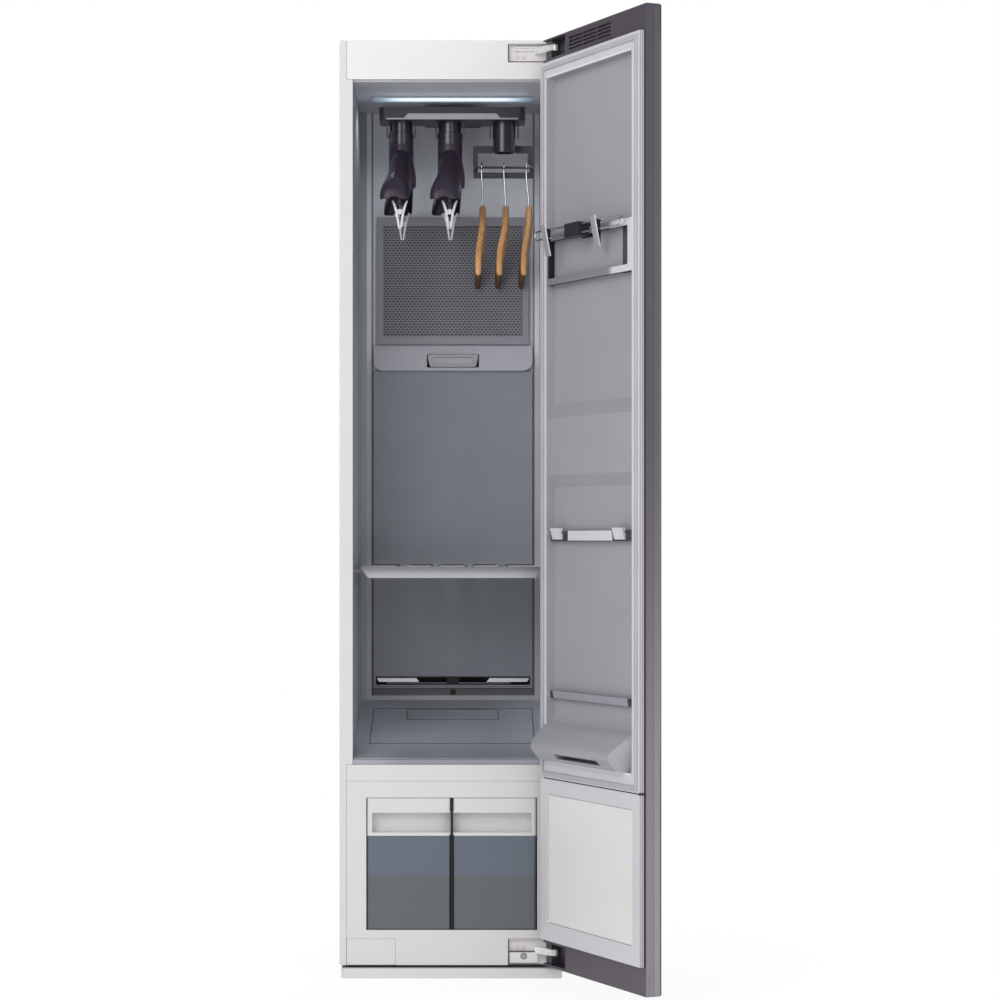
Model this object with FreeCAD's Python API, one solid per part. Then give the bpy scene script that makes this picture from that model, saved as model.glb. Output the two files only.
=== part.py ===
"""Clothes care steam cabinet: a tall, narrow cabinet with a full-height hinged door.

Frame: X to the right, Y into the depth, Z up, in millimetres. The origin is on the floor, under the
middle of the cabinet's front face. The door stands open at rest.
"""
import FreeCAD, Part
import math
import os

Vec = FreeCAD.Vector

# ---------------------------------------------------------------- driving dimensions (pairs: low, high)
CAB_WIDTH = 443.0
CAB_HEIGHT = 1850.0
CAB_DEPTH = 585.0
HALF = CAB_WIDTH / 2                # outer face of a side panel
SKIN = 1.5                          # painted steel sheet
FASCIA = 3.0                        # moulded fascia wall
GAP = 0.3                           # gap between neighbouring pieces
OVER = 1.0                          # how far a cutting form reaches past what it cuts

PLINTH_HEIGHT = 20.0
BODY_BOTTOM = 25.0                  # lower edge of panels and fascia
FASCIA_HALF = 207.8                 # half width of the fascia pieces
FLANGE_INNER = 195.6                # inner edge of the panel flange beside the chamber
FLANGE_DEPTH = 14.0

TOP_FASCIA_Z = 1773.3
TRIM_Z = (388.3, 420.7)
LOWER_FASCIA_TOP = 388.0

# chamber, inside faces
CH_HALF = 195.6                     # half width over most of the depth
CH_HALF_BACK = 183.0                # half width at the back wall
CH_CURVE_Y = 398.0                  # where the side walls start to curve in
CH_BACK_Y = 444.0
CH_CEILING_Z = 1772.0
CH_FLOOR_FRONT_Z = 430.0
CH_FLOOR_BACK_Z = 524.0
WALL = 3.0
COVER_Y = (438.0, 443.7)            # back cover
COVER_HALF = 169.0
LAMP_HALF = 165.0
LAMP_Y = (205.0, 265.0)
SENSOR_Z = 541.0                    # humidity sensor under the air outlet
SENSOR_R = 4.0
NECK_HALF = 58.0                    # duct neck from the dock through the back wall
NECK_BACK_Z = (1744.0, 1769.0)

# door, given closed; it is built closed and then swung open
HINGE_X = 203.0
HINGE_Y = -31.0
DOOR_OPEN_DEG = 113.73
DOOR_HALF = 220.5
DOOR_Z = (28.0, 1846.0)
DOOR_Y = (-46.0, -14.0)
LINER_FACE_Y = -4.0
LINER_HALF = 214.0
LINER_Z = (81.5, 1797.0)
LINER_SPLIT_Z = 399.0
RECESS_HALF = 183.5
RECESS_Z = (434.5, 1765.0)
RECESS_FLOOR_Y = -21.0
MID_PIVOT = (879.0, -12.0)          # height and closed Y of the middle press bar's pivot
LOW_PIVOT = (565.0, -12.0)
PIVOT_R = 2.5

# tanks
BAY_HALF = 168.7
BAY_Z = (94.4, 355.3)
TANK_DEPTH = 150.0
TANK_CAP_Z = 280.3
TANK_WALL = 3.0

# hanging gear
NOZZLE_X = (-105.0, -5.0, 106.0)
NOZZLE_Y = 220.0
NOZZLE_R = 23.0
DOCK_Y = (172.0, 268.0)
DOCK_Z = (1718.5, 1744.7)
DOCK_HALF = 149.0
ROD_Y = 250.0                       # rod of the hanger rack
ROD_Z = 1631.0
HOOK_X = (60.0, 106.0, 152.0)

SHELF_TOP_Z = 811.0
FILTER_Y = 430.0
FILTER_Z = (1278.3, 1549.0)
FILTER_HALF = 161.0

ALL = {}


# ---------------------------------------------------------------- helpers
def box(x0, x1, y0, y1, z0, z1):
    """Solid between two corners."""
    return Part.makeBox(x1 - x0, y1 - y0, z1 - z0, Vec(x0, y0, z0))


def rod(x, y, z, length, radius, along="z"):
    """Cylinder that starts at a point and runs along an axis."""
    direction = {"x": Vec(1, 0, 0), "y": Vec(0, 1, 0), "z": Vec(0, 0, 1)}[along]
    return Part.makeCylinder(radius, length, Vec(x, y, z), direction)


def tube(x, y, z, length, outer, inner, along="z"):
    """Hollow cylinder."""
    return rod(x, y, z, length, outer, along).cut(rod(x, y, z, length, inner, along))


def face_of(points):
    """Flat face inside a closed outline of points."""
    wire = Part.makePolygon([Vec(*p) for p in points] + [Vec(*points[0])])
    return Part.Face(wire)


def prism_x(outline, x0, x1):
    """Outline in (y, z), drawn out along X."""
    return face_of([(x0, y, z) for y, z in outline]).extrude(Vec(x1 - x0, 0, 0))


def prism_y(outline, y0, y1):
    """Outline in (x, z), drawn out along Y."""
    return face_of([(x, y0, z) for x, z in outline]).extrude(Vec(0, y1 - y0, 0))


def prism_z(outline, z0, z1):
    """Outline in (x, y), drawn out along Z."""
    return face_of([(x, y, z0) for x, y in outline]).extrude(Vec(0, 0, z1 - z0))


def beyond(a, b, c, reach):
    """Solid on the side of the plane through three points from which they run anticlockwise."""
    a, b, c = Vec(*a), Vec(*b), Vec(*c)
    normal = (b - a).cross(c - a).normalize()
    along = (b - a).normalize()
    across = normal.cross(along)
    corners = [a + along * (i * reach) + across * (j * reach)
               for i, j in ((-1, -1), (1, -1), (1, 1), (-1, 1))]
    return face_of([(p.x, p.y, p.z) for p in corners]).extrude(normal * reach)


def frame_y(outer, inner, y0, y1):
    """Rectangular ring in X and Z; outer and inner are (x0, x1, z0, z1)."""
    ox0, ox1, oz0, oz1 = outer
    ix0, ix1, iz0, iz1 = inner
    return box(ox0, ox1, y0, y1, oz0, oz1).cut(box(ix0, ix1, y0 - OVER, y1 + OVER, iz0, iz1))


def rounded(shape, radius, along):
    """Fillet every straight edge that runs along one axis."""
    axis = {"x": Vec(1, 0, 0), "y": Vec(0, 1, 0), "z": Vec(0, 0, 1)}[along]
    edges = []
    for edge in shape.Edges:
        if isinstance(edge.Curve, Part.Line) and abs(edge.tangentAt(edge.FirstParameter).dot(axis)) > 0.999:
            edges.append(edge)
    return shape.makeFillet(radius, edges)


def mirrored(shape):
    """Copy on the other side of the middle plane X = 0."""
    return shape.mirror(Vec(0, 0, 0), Vec(1, 0, 0))


def fused(shapes):
    """One solid from pieces that touch or cross."""
    return shapes[0].fuse(shapes[1:]).removeSplitter() if len(shapes) > 1 else shapes[0]


def swung(shape):
    """A door piece, moved from closed to its rest place, open."""
    turned = shape.copy()
    turned.rotate(Vec(HINGE_X, HINGE_Y, 0), Vec(0, 0, 1), DOOR_OPEN_DEG)
    return turned


def node(name, *shapes):
    """Keep the separate solids of one node."""
    solids = [solid for shape in shapes for solid in shape.Solids]
    for solid in solids:
        if not solid.isValid():
            print("not valid:", name)
    ALL[name] = Part.makeCompound(solids)

# ---------------------------------------------------------------- outer casing
FOOT_X = 180.0
FOOT_Y = (40.0, 530.0)
FOOT_R = 20.0
FOOT_PAD = 12.0                     # height of the round pad
FOOT_STUD_R = 5.0
FOOT_STUD_TOP = 60.0
PLINTH_HALF = 218.0
PLINTH_PROUD = 10.0                 # in front of the cabinet's face
PLINTH_CORNER_R = 8.0
FOOT_ROOM = 2.0                     # round a foot, in the plinth


def foot_places():
    """Centre of each levelling foot."""
    return [(x, y) for x in (-FOOT_X, FOOT_X) for y in FOOT_Y]


def plinth():
    """Base frame on the floor, a little proud of the front, open around the feet."""
    block = box(-PLINTH_HALF, PLINTH_HALF, -PLINTH_PROUD, CAB_DEPTH, 0, PLINTH_HEIGHT)
    shape = rounded(block, PLINTH_CORNER_R, "z")
    for x, y in foot_places():
        shape = shape.cut(rod(x, y, -OVER, PLINTH_HEIGHT + 2 * OVER, FOOT_R + FOOT_ROOM))
    node("plinth", shape)


def levelling_feet():
    """Four round feet on threaded studs."""
    feet = []
    for x, y in foot_places():
        pad = rod(x, y, 0, FOOT_PAD, FOOT_R)
        feet.append(fused([pad, rod(x, y, FOOT_PAD, FOOT_STUD_TOP - FOOT_PAD, FOOT_STUD_R)]))
    node("levelling_feet", *feet)


SHADOW_HALF = 205.0                 # black filler seen in the gap over the plinth
SHADOW_Y = (4.0, CAB_DEPTH - 12)
PAN_HALF = 218.5
PAN_Y = (16.0, CAB_DEPTH - 7)
PAN_RIM = 28.0
PAN_RIM_WALL = 2.0
STUD_ROOM = 0.2                     # round a foot's stud, in the tray


def base_tray():
    """Black shadow gap over the plinth and the pressed steel pan that carries the machinery."""
    z0 = BODY_BOTTOM
    gap = box(-SHADOW_HALF, SHADOW_HALF, *SHADOW_Y, PLINTH_HEIGHT, z0)
    pan = box(-PAN_HALF, PAN_HALF, *PAN_Y, z0, z0 + SKIN)
    rim = box(-PAN_HALF, PAN_HALF, *PAN_Y, z0, z0 + PAN_RIM)
    inner = PAN_HALF - PAN_RIM_WALL
    rim = rim.cut(box(-inner, inner, PAN_Y[0] + PAN_RIM_WALL, PAN_Y[1] - PAN_RIM_WALL, z0 - OVER,
                      z0 + PAN_RIM + OVER))
    shape = fused([gap, pan, rim])
    for x, y in foot_places():
        stud = rod(x, y, PLINTH_HEIGHT - OVER, z0 + SKIN - PLINTH_HEIGHT + 2 * OVER, FOOT_STUD_R + STUD_ROOM)
        shape = shape.cut(stud)
    node("base_tray", shape)


def side_panels():
    """Painted sheet with a folded front flange: wide beside the chamber, narrow beside the fascias."""
    wide_z = (TRIM_Z[1] + GAP, TOP_FASCIA_Z - GAP)
    for name, flip in (("side_panel_left", True), ("side_panel_right", False)):
        sheet = box(HALF - SKIN, HALF, 0, CAB_DEPTH, BODY_BOTTOM, CAB_HEIGHT)
        narrow = box(FASCIA_HALF + GAP, HALF, 0, FLANGE_DEPTH, BODY_BOTTOM, CAB_HEIGHT)
        wide = box(FLANGE_INNER, HALF, 0, FLANGE_DEPTH, *wide_z)
        fold = fused([narrow, wide])
        inside = box(FLANGE_INNER + SKIN, HALF - SKIN, SKIN, FLANGE_DEPTH + OVER, wide_z[0] + SKIN,
                     wide_z[1] - SKIN)
        inside_low = box(FASCIA_HALF + GAP + SKIN, HALF - SKIN, SKIN, FLANGE_DEPTH + OVER, BODY_BOTTOM - OVER,
                         CAB_HEIGHT + OVER)
        shape = fused([sheet, fold.cut(fused([inside, inside_low]))])
        node(name, mirrored(shape) if flip else shape)


LID_FRONT_Y = 62.0
LID_RIM = 14.0


def top_panel():
    """Lid between the side panels, behind the top fascia, with a tab that closes each front corner."""
    inner = HALF - SKIN - GAP
    tab = box(FASCIA_HALF + SKIN + 2 * GAP, inner, SKIN + GAP, LID_FRONT_Y + OVER, CAB_HEIGHT - SKIN,
              CAB_HEIGHT)
    lid = box(-inner, inner, LID_FRONT_Y, CAB_DEPTH, CAB_HEIGHT - SKIN, CAB_HEIGHT)
    rim = box(-inner, inner, LID_FRONT_Y, CAB_DEPTH, CAB_HEIGHT - LID_RIM, CAB_HEIGHT)
    rim = rim.cut(box(-inner + SKIN, inner - SKIN, LID_FRONT_Y - OVER, CAB_DEPTH - SKIN,
                      CAB_HEIGHT - LID_RIM - OVER, CAB_HEIGHT + OVER))
    node("top_panel", fused([lid, rim, tab, mirrored(tab)]))


INLET_X = 150.0
INLET_Z = 110.0
INLET_R = 14.0
INLET_LIP = (3.7, 5.0)              # thickness of the flange and how far it stands out round the body
INLET_BODY = (-24.0, 4.0)           # from the rear sheet's inner face
INLET_BORE_R = 5.0
INLET_ROOM = 0.2
DRAIN_X = -150.0
DRAIN_Z = 90.0
DRAIN_R = 11.0
REAR_Y = (580.0, 582.0)
REAR_Z = (56.0, CAB_HEIGHT - 15)
LOUVRE_COUNT = 8
LOUVRE_HALF = 110.0
LOUVRE_Z = 190.0                    # foot of the lowest slot
LOUVRE_PITCH = 16.0
LOUVRE_SLOT = 6.0


def rear_panel():
    """Rear sheet with louvres at the compressor, a hole for the power gland and one for the drain."""
    inner = HALF - SKIN - GAP
    front, through = REAR_Y[0] - OVER, REAR_Y[1] - REAR_Y[0] + 2 * OVER
    shape = box(-inner, inner, *REAR_Y, *REAR_Z)
    for k in range(LOUVRE_COUNT):
        z = LOUVRE_Z + LOUVRE_PITCH * k
        shape = shape.cut(box(-LOUVRE_HALF, LOUVRE_HALF, front, front + through, z, z + LOUVRE_SLOT))
    shape = shape.cut(rod(INLET_X, front, INLET_Z, through, INLET_R + INLET_ROOM, "y"))
    shape = shape.cut(rod(DRAIN_X, front, DRAIN_Z, through, DRAIN_R, "y"))
    node("rear_panel", shape)


def power_inlet():
    """Gland in the rear panel where the mains lead goes in."""
    thick, stand_out = INLET_LIP
    start, end = INLET_BODY
    flange = rod(INLET_X, REAR_Y[0] - GAP - thick, INLET_Z, thick, INLET_R + stand_out, "y")
    body = rod(INLET_X, REAR_Y[0] + start, INLET_Z, end - start, INLET_R, "y")
    bore = rod(INLET_X, REAR_Y[0] + start - OVER, INLET_Z, end - start + 2 * OVER, INLET_BORE_R, "y")
    node("power_inlet", fused([flange, body]).cut(bore))


HINGE_BOX_X = (111.0, FASCIA_HALF)
HINGE_TOP_Z = (1807.0, 1843.0)
HINGE_LOW_Z = (25.0, 77.0)
HINGE_BOX_DEPTH = 16.0
HEAD_DEPTH = 61.0                   # how far the head runs back over the chamber
HEAD_STEP = 0.4


def top_fascia():
    """Head of the cabinet front, open at the right for the upper hinge."""
    half = FASCIA_HALF
    back = HEAD_DEPTH + OVER
    shape = box(-half, half, 0, HEAD_DEPTH, TOP_FASCIA_Z, CAB_HEIGHT)
    shape = shape.cut(box(-half + FASCIA, half - FASCIA, FASCIA, back, TOP_FASCIA_Z + FASCIA,
                          CAB_HEIGHT - FASCIA))
    shape = shape.cut(box(-half - OVER, half + OVER, FLANGE_DEPTH + HEAD_STEP, back, 0, CAB_HEIGHT - FASCIA))
    shape = shape.cut(box(HINGE_BOX_X[0], half + OVER, -OVER, HINGE_BOX_DEPTH, *HINGE_TOP_Z))
    node("top_fascia", shape)


def trim_strip():
    """Strip under the chamber opening."""
    lip_half = FASCIA_HALF - 1.0
    strip = box(-FASCIA_HALF, FASCIA_HALF, 0, FASCIA, *TRIM_Z)
    lip = box(-lip_half, lip_half, FASCIA, FLANGE_DEPTH, TRIM_Z[1] - FASCIA, TRIM_Z[1])
    node("trim_strip", fused([strip, lip]))


SERVICE_X = (-FASCIA_HALF, -111.0)
SERVICE_Z = (25.0, 77.0)
SERVICE_Y = (0.4, FASCIA)
TONGUE_IN = 12.0                    # the service cover's tongue, from the cover's sides and top
TONGUE_THICK = 3.0
TONGUE_REACH = 12.0
POST_HALF = 1.5                     # half width of the post between the tanks


def lower_fascia():
    """Front around the tank bay, with notches for the service cover and the lower hinge."""
    back = FASCIA + OVER
    plate = box(-FASCIA_HALF, FASCIA_HALF, 0, FASCIA, BODY_BOTTOM, LOWER_FASCIA_TOP)
    plate = plate.cut(box(-BAY_HALF, BAY_HALF, -OVER, back, *BAY_Z))
    plate = plate.cut(box(SERVICE_X[0] - OVER, SERVICE_X[1], -OVER, back, SERVICE_Z[0] - OVER, SERVICE_Z[1]))
    plate = plate.cut(box(HINGE_BOX_X[0], FASCIA_HALF + OVER, -OVER, back, HINGE_LOW_Z[0] - OVER,
                          HINGE_LOW_Z[1]))
    post = box(-POST_HALF, POST_HALF, 0, FASCIA, *BAY_Z)
    node("lower_fascia", fused([plate, post]))


def service_cover():
    """Clip-on cover over the drain hose, bottom left."""
    x0, x1 = SERVICE_X
    z0, z1 = SERVICE_Z
    plate = box(x0 + GAP, x1 - GAP, *SERVICE_Y, z0 + GAP, z1 - GAP)
    tongue = box(x0 + TONGUE_IN, x1 - TONGUE_IN, FASCIA, TONGUE_REACH, z1 - TONGUE_IN,
                 z1 - TONGUE_IN + TONGUE_THICK)
    node("service_cover", fused([plate, tongue]))


# ---------------------------------------------------------------- chamber
CURVE_MID = (193.2, 426.0)          # a point on the curve of the side wall
FRONT_Y = FLANGE_DEPTH + GAP        # where the chamber's walls start
SHELF_RAIL_X = 178.0
SHELF_RAIL_Z = (799.0, 806.8)
SHELF_RAIL_Y = (64.0, 400.0)
WALL_Z = (TRIM_Z[1] + GAP, CH_CEILING_Z)


def side_line(half, back, mid_x, back_y, z):
    """Edges of a right-hand wall's face from front to back: straight, then an arc."""
    straight = Part.makeLine(Vec(half, FRONT_Y, z), Vec(half, CH_CURVE_Y, z))
    arc = Part.Arc(Vec(half, CH_CURVE_Y, z), Vec(mid_x, CURVE_MID[1], z), Vec(back, back_y, z)).toShape()
    return [straight, arc]


def chamber_plan(inset, z0, z1):
    """Block with the chamber's plan, a little smaller all round."""
    half = CH_HALF - inset
    back = CH_HALF_BACK - inset
    back_y = CH_BACK_Y - inset
    right = side_line(half, back, CURVE_MID[0] - inset, back_y, z0)
    left = [mirrored(edge) for edge in right]
    across = [Part.makeLine(Vec(back, back_y, z0), Vec(-back, back_y, z0)),
              Part.makeLine(Vec(-half, FRONT_Y, z0), Vec(half, FRONT_Y, z0))]
    wire = Part.Wire(Part.__sortEdges__(right + left + across))
    return Part.Face(wire).extrude(Vec(0, 0, z1 - z0))


def chamber_walls():
    """Left and right liner walls, each with the rail that carries the shelf."""
    z0, z1 = WALL_Z
    inside = side_line(CH_HALF, CH_HALF_BACK, CURVE_MID[0], CH_BACK_Y, z0)
    outside = side_line(CH_HALF + WALL, CH_HALF_BACK + WALL, CURVE_MID[0] + WALL, CH_BACK_Y, z0)
    ends = [Part.makeLine(Vec(CH_HALF_BACK, CH_BACK_Y, z0), Vec(CH_HALF_BACK + WALL, CH_BACK_Y, z0)),
            Part.makeLine(Vec(CH_HALF, FRONT_Y, z0), Vec(CH_HALF + WALL, FRONT_Y, z0))]
    wire = Part.Wire(Part.__sortEdges__(inside + outside + ends))
    wall = Part.Face(wire).extrude(Vec(0, 0, z1 - z0))
    rail = box(SHELF_RAIL_X, CH_HALF + OVER, *SHELF_RAIL_Y, *SHELF_RAIL_Z)
    right = fused([wall, rail])
    node("chamber_walls", right, mirrored(right))


CEILING_FRONT_Y = FLANGE_DEPTH + 2 * GAP
CEILING_LIP = (1.5, 19.0)           # how far the front lip hangs down, and where it ends
LAMP_RIM = 4.0                      # the diffuser's overlap round its hole


def chamber_ceiling():
    """Flat top of the chamber, pocketed for the lamp."""
    outer = CH_HALF + WALL
    z = CH_CEILING_Z
    slab = box(-outer, outer, CEILING_FRONT_Y, CH_BACK_Y + WALL, z, z + WALL)
    slab = slab.cut(box(-LAMP_HALF + LAMP_RIM, LAMP_HALF - LAMP_RIM, LAMP_Y[0] + LAMP_RIM,
                        LAMP_Y[1] - LAMP_RIM, z - OVER, z + WALL + OVER))
    drop, lip_end = CEILING_LIP
    lip = box(-CH_HALF + GAP, CH_HALF - GAP, CEILING_FRONT_Y, lip_end, z - drop, z)
    node("chamber_ceiling", fused([slab, lip]))


DIFFUSER_THICK = 4.0
DIFFUSER_CORNER_R = 8.0
LAMP_BOARD = (6.0, 1.0, 1.6)        # in from the diffuser's edge, above the ceiling's face, thickness


def led_light():
    """Long diffuser under the ceiling with its strip of lamps above."""
    top = CH_CEILING_Z - GAP
    diffuser = rounded(box(-LAMP_HALF, LAMP_HALF, *LAMP_Y, top - DIFFUSER_THICK, top), DIFFUSER_CORNER_R, "z")
    edge, rise, thick = LAMP_BOARD
    board = box(-LAMP_HALF + edge, LAMP_HALF - edge, LAMP_Y[0] + edge, LAMP_Y[1] - edge,
                CH_CEILING_Z + rise, CH_CEILING_Z + rise + thick)
    node("led_light", diffuser, board)


CARTRIDGE_HALF = 54.5
CARTRIDGE_Z = (1231.0, 1257.0)
OUTLET_HALF = 163.6
OUTLET_Z = (553.0, 573.0)
FILTER_HOLE_HALF = 150.0
FILTER_HOLE_Z = (1292.0, 1536.0)
CARTRIDGE_ROOM = 2.0
NECK_ROOM = (1.0, 3.0, 1.0)         # beside, under and over the dock's neck
BACK_CUT_Y = (440.0, 460.0)         # reach of the cuts through the rear wall


def chamber_back():
    """Rear liner wall with the openings of the air paths."""
    outer = CH_HALF_BACK + WALL
    beside, under, over = NECK_ROOM
    y0, y1 = BACK_CUT_Y
    plate = box(-outer, outer, CH_BACK_Y + GAP, CH_BACK_Y + WALL, WALL_Z[0], CH_CEILING_Z - GAP)
    cuts = [box(-FILTER_HOLE_HALF, FILTER_HOLE_HALF, y0, y1, *FILTER_HOLE_Z),
            box(-CARTRIDGE_HALF, CARTRIDGE_HALF, y0, y1, CARTRIDGE_Z[0] - CARTRIDGE_ROOM,
                CARTRIDGE_Z[1] + CARTRIDGE_ROOM),
            box(-OUTLET_HALF, OUTLET_HALF, y0, y1, *OUTLET_Z),
            box(-NECK_HALF - beside, NECK_HALF + beside, y0, y1, NECK_BACK_Z[0] - under,
                NECK_BACK_Z[1] + over),
            rod(0, y0, SENSOR_Z, y1 - y0, SENSOR_R + GAP, "y")]
    for cut in cuts:
        plate = plate.cut(cut)
    node("chamber_back", plate)


FLOOR_SLOPE = (CH_FLOOR_BACK_Z - CH_FLOOR_FRONT_Z) / CH_BACK_Y
FLOOR_THICK = 8.0
FLOOR_COVER = (-166.0, 166.0, 115.0, 375.0)
COVER_THICK = 4.0
COVER_ROOM = 0.6                    # round the lift-out cover
SUMP = (-120.0, 120.0, 150.0, 340.0)
FLOOR_SPAN_Z = (380.0, 560.0)       # tall enough to take in the whole slope
FLOOR_SPAN_X = 250.0
SILL_BACK_Y = 18.0
SILL_FRONT_Y = 2.0
SILL_TOP_Z = (432.0, 430.4)         # behind and under the flange
FINGER_SLOT = (-95.0, 95.0, 290.0, 366.0)
FINGER_SLOT_DEPTH = 2.2


def floor_z(y):
    """Height of the sloping chamber floor."""
    return CH_FLOOR_FRONT_Z + FLOOR_SLOPE * y


def floor_slab(y0, y1, top_drop, thick, x0=-FLOOR_SPAN_X, x1=FLOOR_SPAN_X):
    """Slab that follows the sloping floor."""
    outline = [(y0, floor_z(y0) - top_drop), (y1, floor_z(y1) - top_drop),
               (y1, floor_z(y1) - top_drop - thick), (y0, floor_z(y0) - top_drop - thick)]
    return prism_x(outline, x0, x1)


def chamber_floor():
    """Sloping floor with a pocket for the cover and an opening to the sump under it."""
    half = CH_HALF - GAP
    slab = floor_slab(0, CH_BACK_Y + WALL, 0, FLOOR_THICK).common(chamber_plan(GAP, *FLOOR_SPAN_Z))
    x0, x1, y0, y1 = FLOOR_COVER
    pocket = floor_slab(y0 - COVER_ROOM, y1 + COVER_ROOM, -OVER, COVER_THICK + OVER, x0 - COVER_ROOM,
                        x1 + COVER_ROOM)
    slab = slab.cut(pocket).cut(box(*SUMP, *FLOOR_SPAN_Z))
    sill = box(-half, half, FRONT_Y, SILL_BACK_Y, WALL_Z[0], SILL_TOP_Z[0])
    nose = box(-half, half, SILL_FRONT_Y, SILL_BACK_Y, WALL_Z[0], SILL_TOP_Z[1])
    node("chamber_floor", fused([slab, sill, nose]))


def floor_cover():
    """Lift-out cover over the lint sump, with a finger recess at its back edge."""
    x0, x1, y0, y1 = FLOOR_COVER
    shape = floor_slab(y0, y1, 0, COVER_THICK - GAP, x0, x1)
    slot_x0, slot_x1, slot_y0, slot_y1 = FINGER_SLOT
    slot = floor_slab(slot_y0, slot_y1, -OVER, OVER + FINGER_SLOT_DEPTH, slot_x0, slot_x1)
    node("floor_cover", shape.cut(slot))


COVER_Z = (549.0, 574.0, 1223.0)    # foot, top of the outlet's frame, top of the flat panel
COVER_FOOT = 3.7
LEDGE_Y = (428.0, 437.5)            # foot and top of the ledge's sloping face
LEDGE_CORNER_R = 20.0
LEDGE_SQUARE_Z = 1270.0             # above this the ledge's corners are square
SLOT_ROOM = 0.6                     # round the cartridge


def back_cover():
    """Removable rear cover: a flat panel under a sloping ledge that the cartridge slides into."""
    y0, y1 = COVER_Y
    foot_z, frame_z, ledge_z = COVER_Z
    half = COVER_HALF
    top = FILTER_Z[0] - GAP
    panel = box(-half, half, y0, y1, frame_z, ledge_z)
    foot = box(-half, half, y0, y1, foot_z, foot_z + COVER_FOOT)
    cheeks = [box(-half, -OUTLET_HALF - GAP, y0, y1, foot_z + COVER_FOOT, frame_z),
              box(OUTLET_HALF + GAP, half, y0, y1, foot_z + COVER_FOOT, frame_z)]
    ledge = prism_x([(y1, ledge_z - 2 * OVER), (LEDGE_Y[0], ledge_z), (LEDGE_Y[1], top), (y1, top)],
                    -half, half)
    depth = (LEDGE_Y[0] - OVER, y1 + OVER)
    corners = rounded(box(-half, half, *depth, ledge_z, top + 2 * LEDGE_CORNER_R), LEDGE_CORNER_R, "y")
    ledge = ledge.common(fused([corners, box(-half, half, *depth, LEDGE_SQUARE_Z, top + LEDGE_CORNER_R)]))
    slot_half = CARTRIDGE_HALF + SLOT_ROOM
    slot = box(-slot_half, slot_half, *depth, CARTRIDGE_Z[0] - SLOT_ROOM, CARTRIDGE_Z[1] + SLOT_ROOM)
    node("back_cover", fused([panel, foot, ledge] + cheeks).cut(slot))


OUTLET_WALL = 2.0
OUTLET_BACK_Y = 478.0
OUTLET_POST = (13.0, 470.0)         # half width and back of the post in the middle
SENSOR_BODY = 14.0
SENSOR_LIP = (2.0, 2.5)             # thickness, and how far it stands out round the body


def air_outlet():
    """Black duct mouth behind the rear cover's lower slot, and the humidity sensor under it."""
    z0, z1 = OUTLET_Z
    half = OUTLET_HALF - GAP
    front = COVER_Y[0] + 1.0
    wall = OUTLET_WALL
    outer = box(-half, half, front, OUTLET_BACK_Y, z0 + GAP, z1 - GAP)
    inner = box(-half + wall, half - wall, front - OVER, OUTLET_BACK_Y + OVER, z0 + GAP + wall,
                z1 - GAP - wall)
    post_half, post_back = OUTLET_POST
    post = box(-post_half, post_half, front, post_back, z0 + GAP, z1 - GAP)
    lip, stand_out = SENSOR_LIP
    face = CH_BACK_Y - lip
    sensor = fused([rod(0, face, SENSOR_Z, SENSOR_BODY, SENSOR_R, "y"),
                    rod(0, face, SENSOR_Z, lip, SENSOR_R + stand_out, "y")])
    node("air_outlet", fused([outer.cut(inner), post]), sensor)


# ---------------------------------------------------------------- dock and nozzles
NOZZLE_BOTTOM_Z = 1657.0
NOZZLE_WALL = 2.5
NOZZLE_RISE = 12.0                  # inside the dock
NOZZLE_FLANGE = (2.5, 4.0)          # thickness, and how far it stands out round the nozzle
NOZZLE_ROOM = 0.2
DOCK_WALL = 3.0
DOCK_CORNER_R = 14.0
NECK_BACK_Y = CH_BACK_Y + WALL + 6.0
NECK_START = 6.0                    # the neck's bore starts this far inside the dock's back face
FIN_OFFSET = 28.5                   # from a nozzle's axis
FIN_DROP = 32.0
FIN_THICK = 2.4
FIN_HALF_Y = (12.0, 6.0)            # at its top and at its foot


def air_dock():
    """Hollow bar under the ceiling, its duct neck to the rear wall, and a fin each side of each nozzle."""
    y0, y1 = DOCK_Y
    z0, z1 = DOCK_Z
    t = DOCK_WALL
    half = DOCK_HALF
    outer = rounded(box(-half, half, y0, y1, z0, z1), DOCK_CORNER_R, "z")
    inner = rounded(box(-half + t, half - t, y0 + t, y1 - t, z0 + t, z1 - t), DOCK_CORNER_R - t, "z")
    low, high = NECK_BACK_Z
    neck = prism_x([(y1 - OVER, z0), (y1 - OVER, z1), (NECK_BACK_Y, high), (NECK_BACK_Y, low)],
                   -NECK_HALF, NECK_HALF)
    start, end = y1 - NECK_START, NECK_BACK_Y + OVER
    bore = prism_x([(start, z0 + t), (start, z1 - t), (end, high - t), (end, low + t)],
                   -NECK_HALF + t, NECK_HALF - t)
    shape = fused([outer, neck]).cut(inner).cut(bore)
    top, foot = FIN_HALF_Y
    fins = []
    for x in NOZZLE_X:
        shape = shape.cut(rod(x, NOZZLE_Y, z0 - OVER, t + 2 * OVER, NOZZLE_R + NOZZLE_ROOM))
        for side in (-1, 1):
            face = x + side * FIN_OFFSET - FIN_THICK / 2
            outline = [(NOZZLE_Y - top, z0), (NOZZLE_Y + top, z0), (NOZZLE_Y + foot, z0 - FIN_DROP),
                       (NOZZLE_Y - foot, z0 - FIN_DROP)]
            fins.append(prism_x(outline, face, face + FIN_THICK))
    node("air_dock", shape, *fins)


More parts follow.
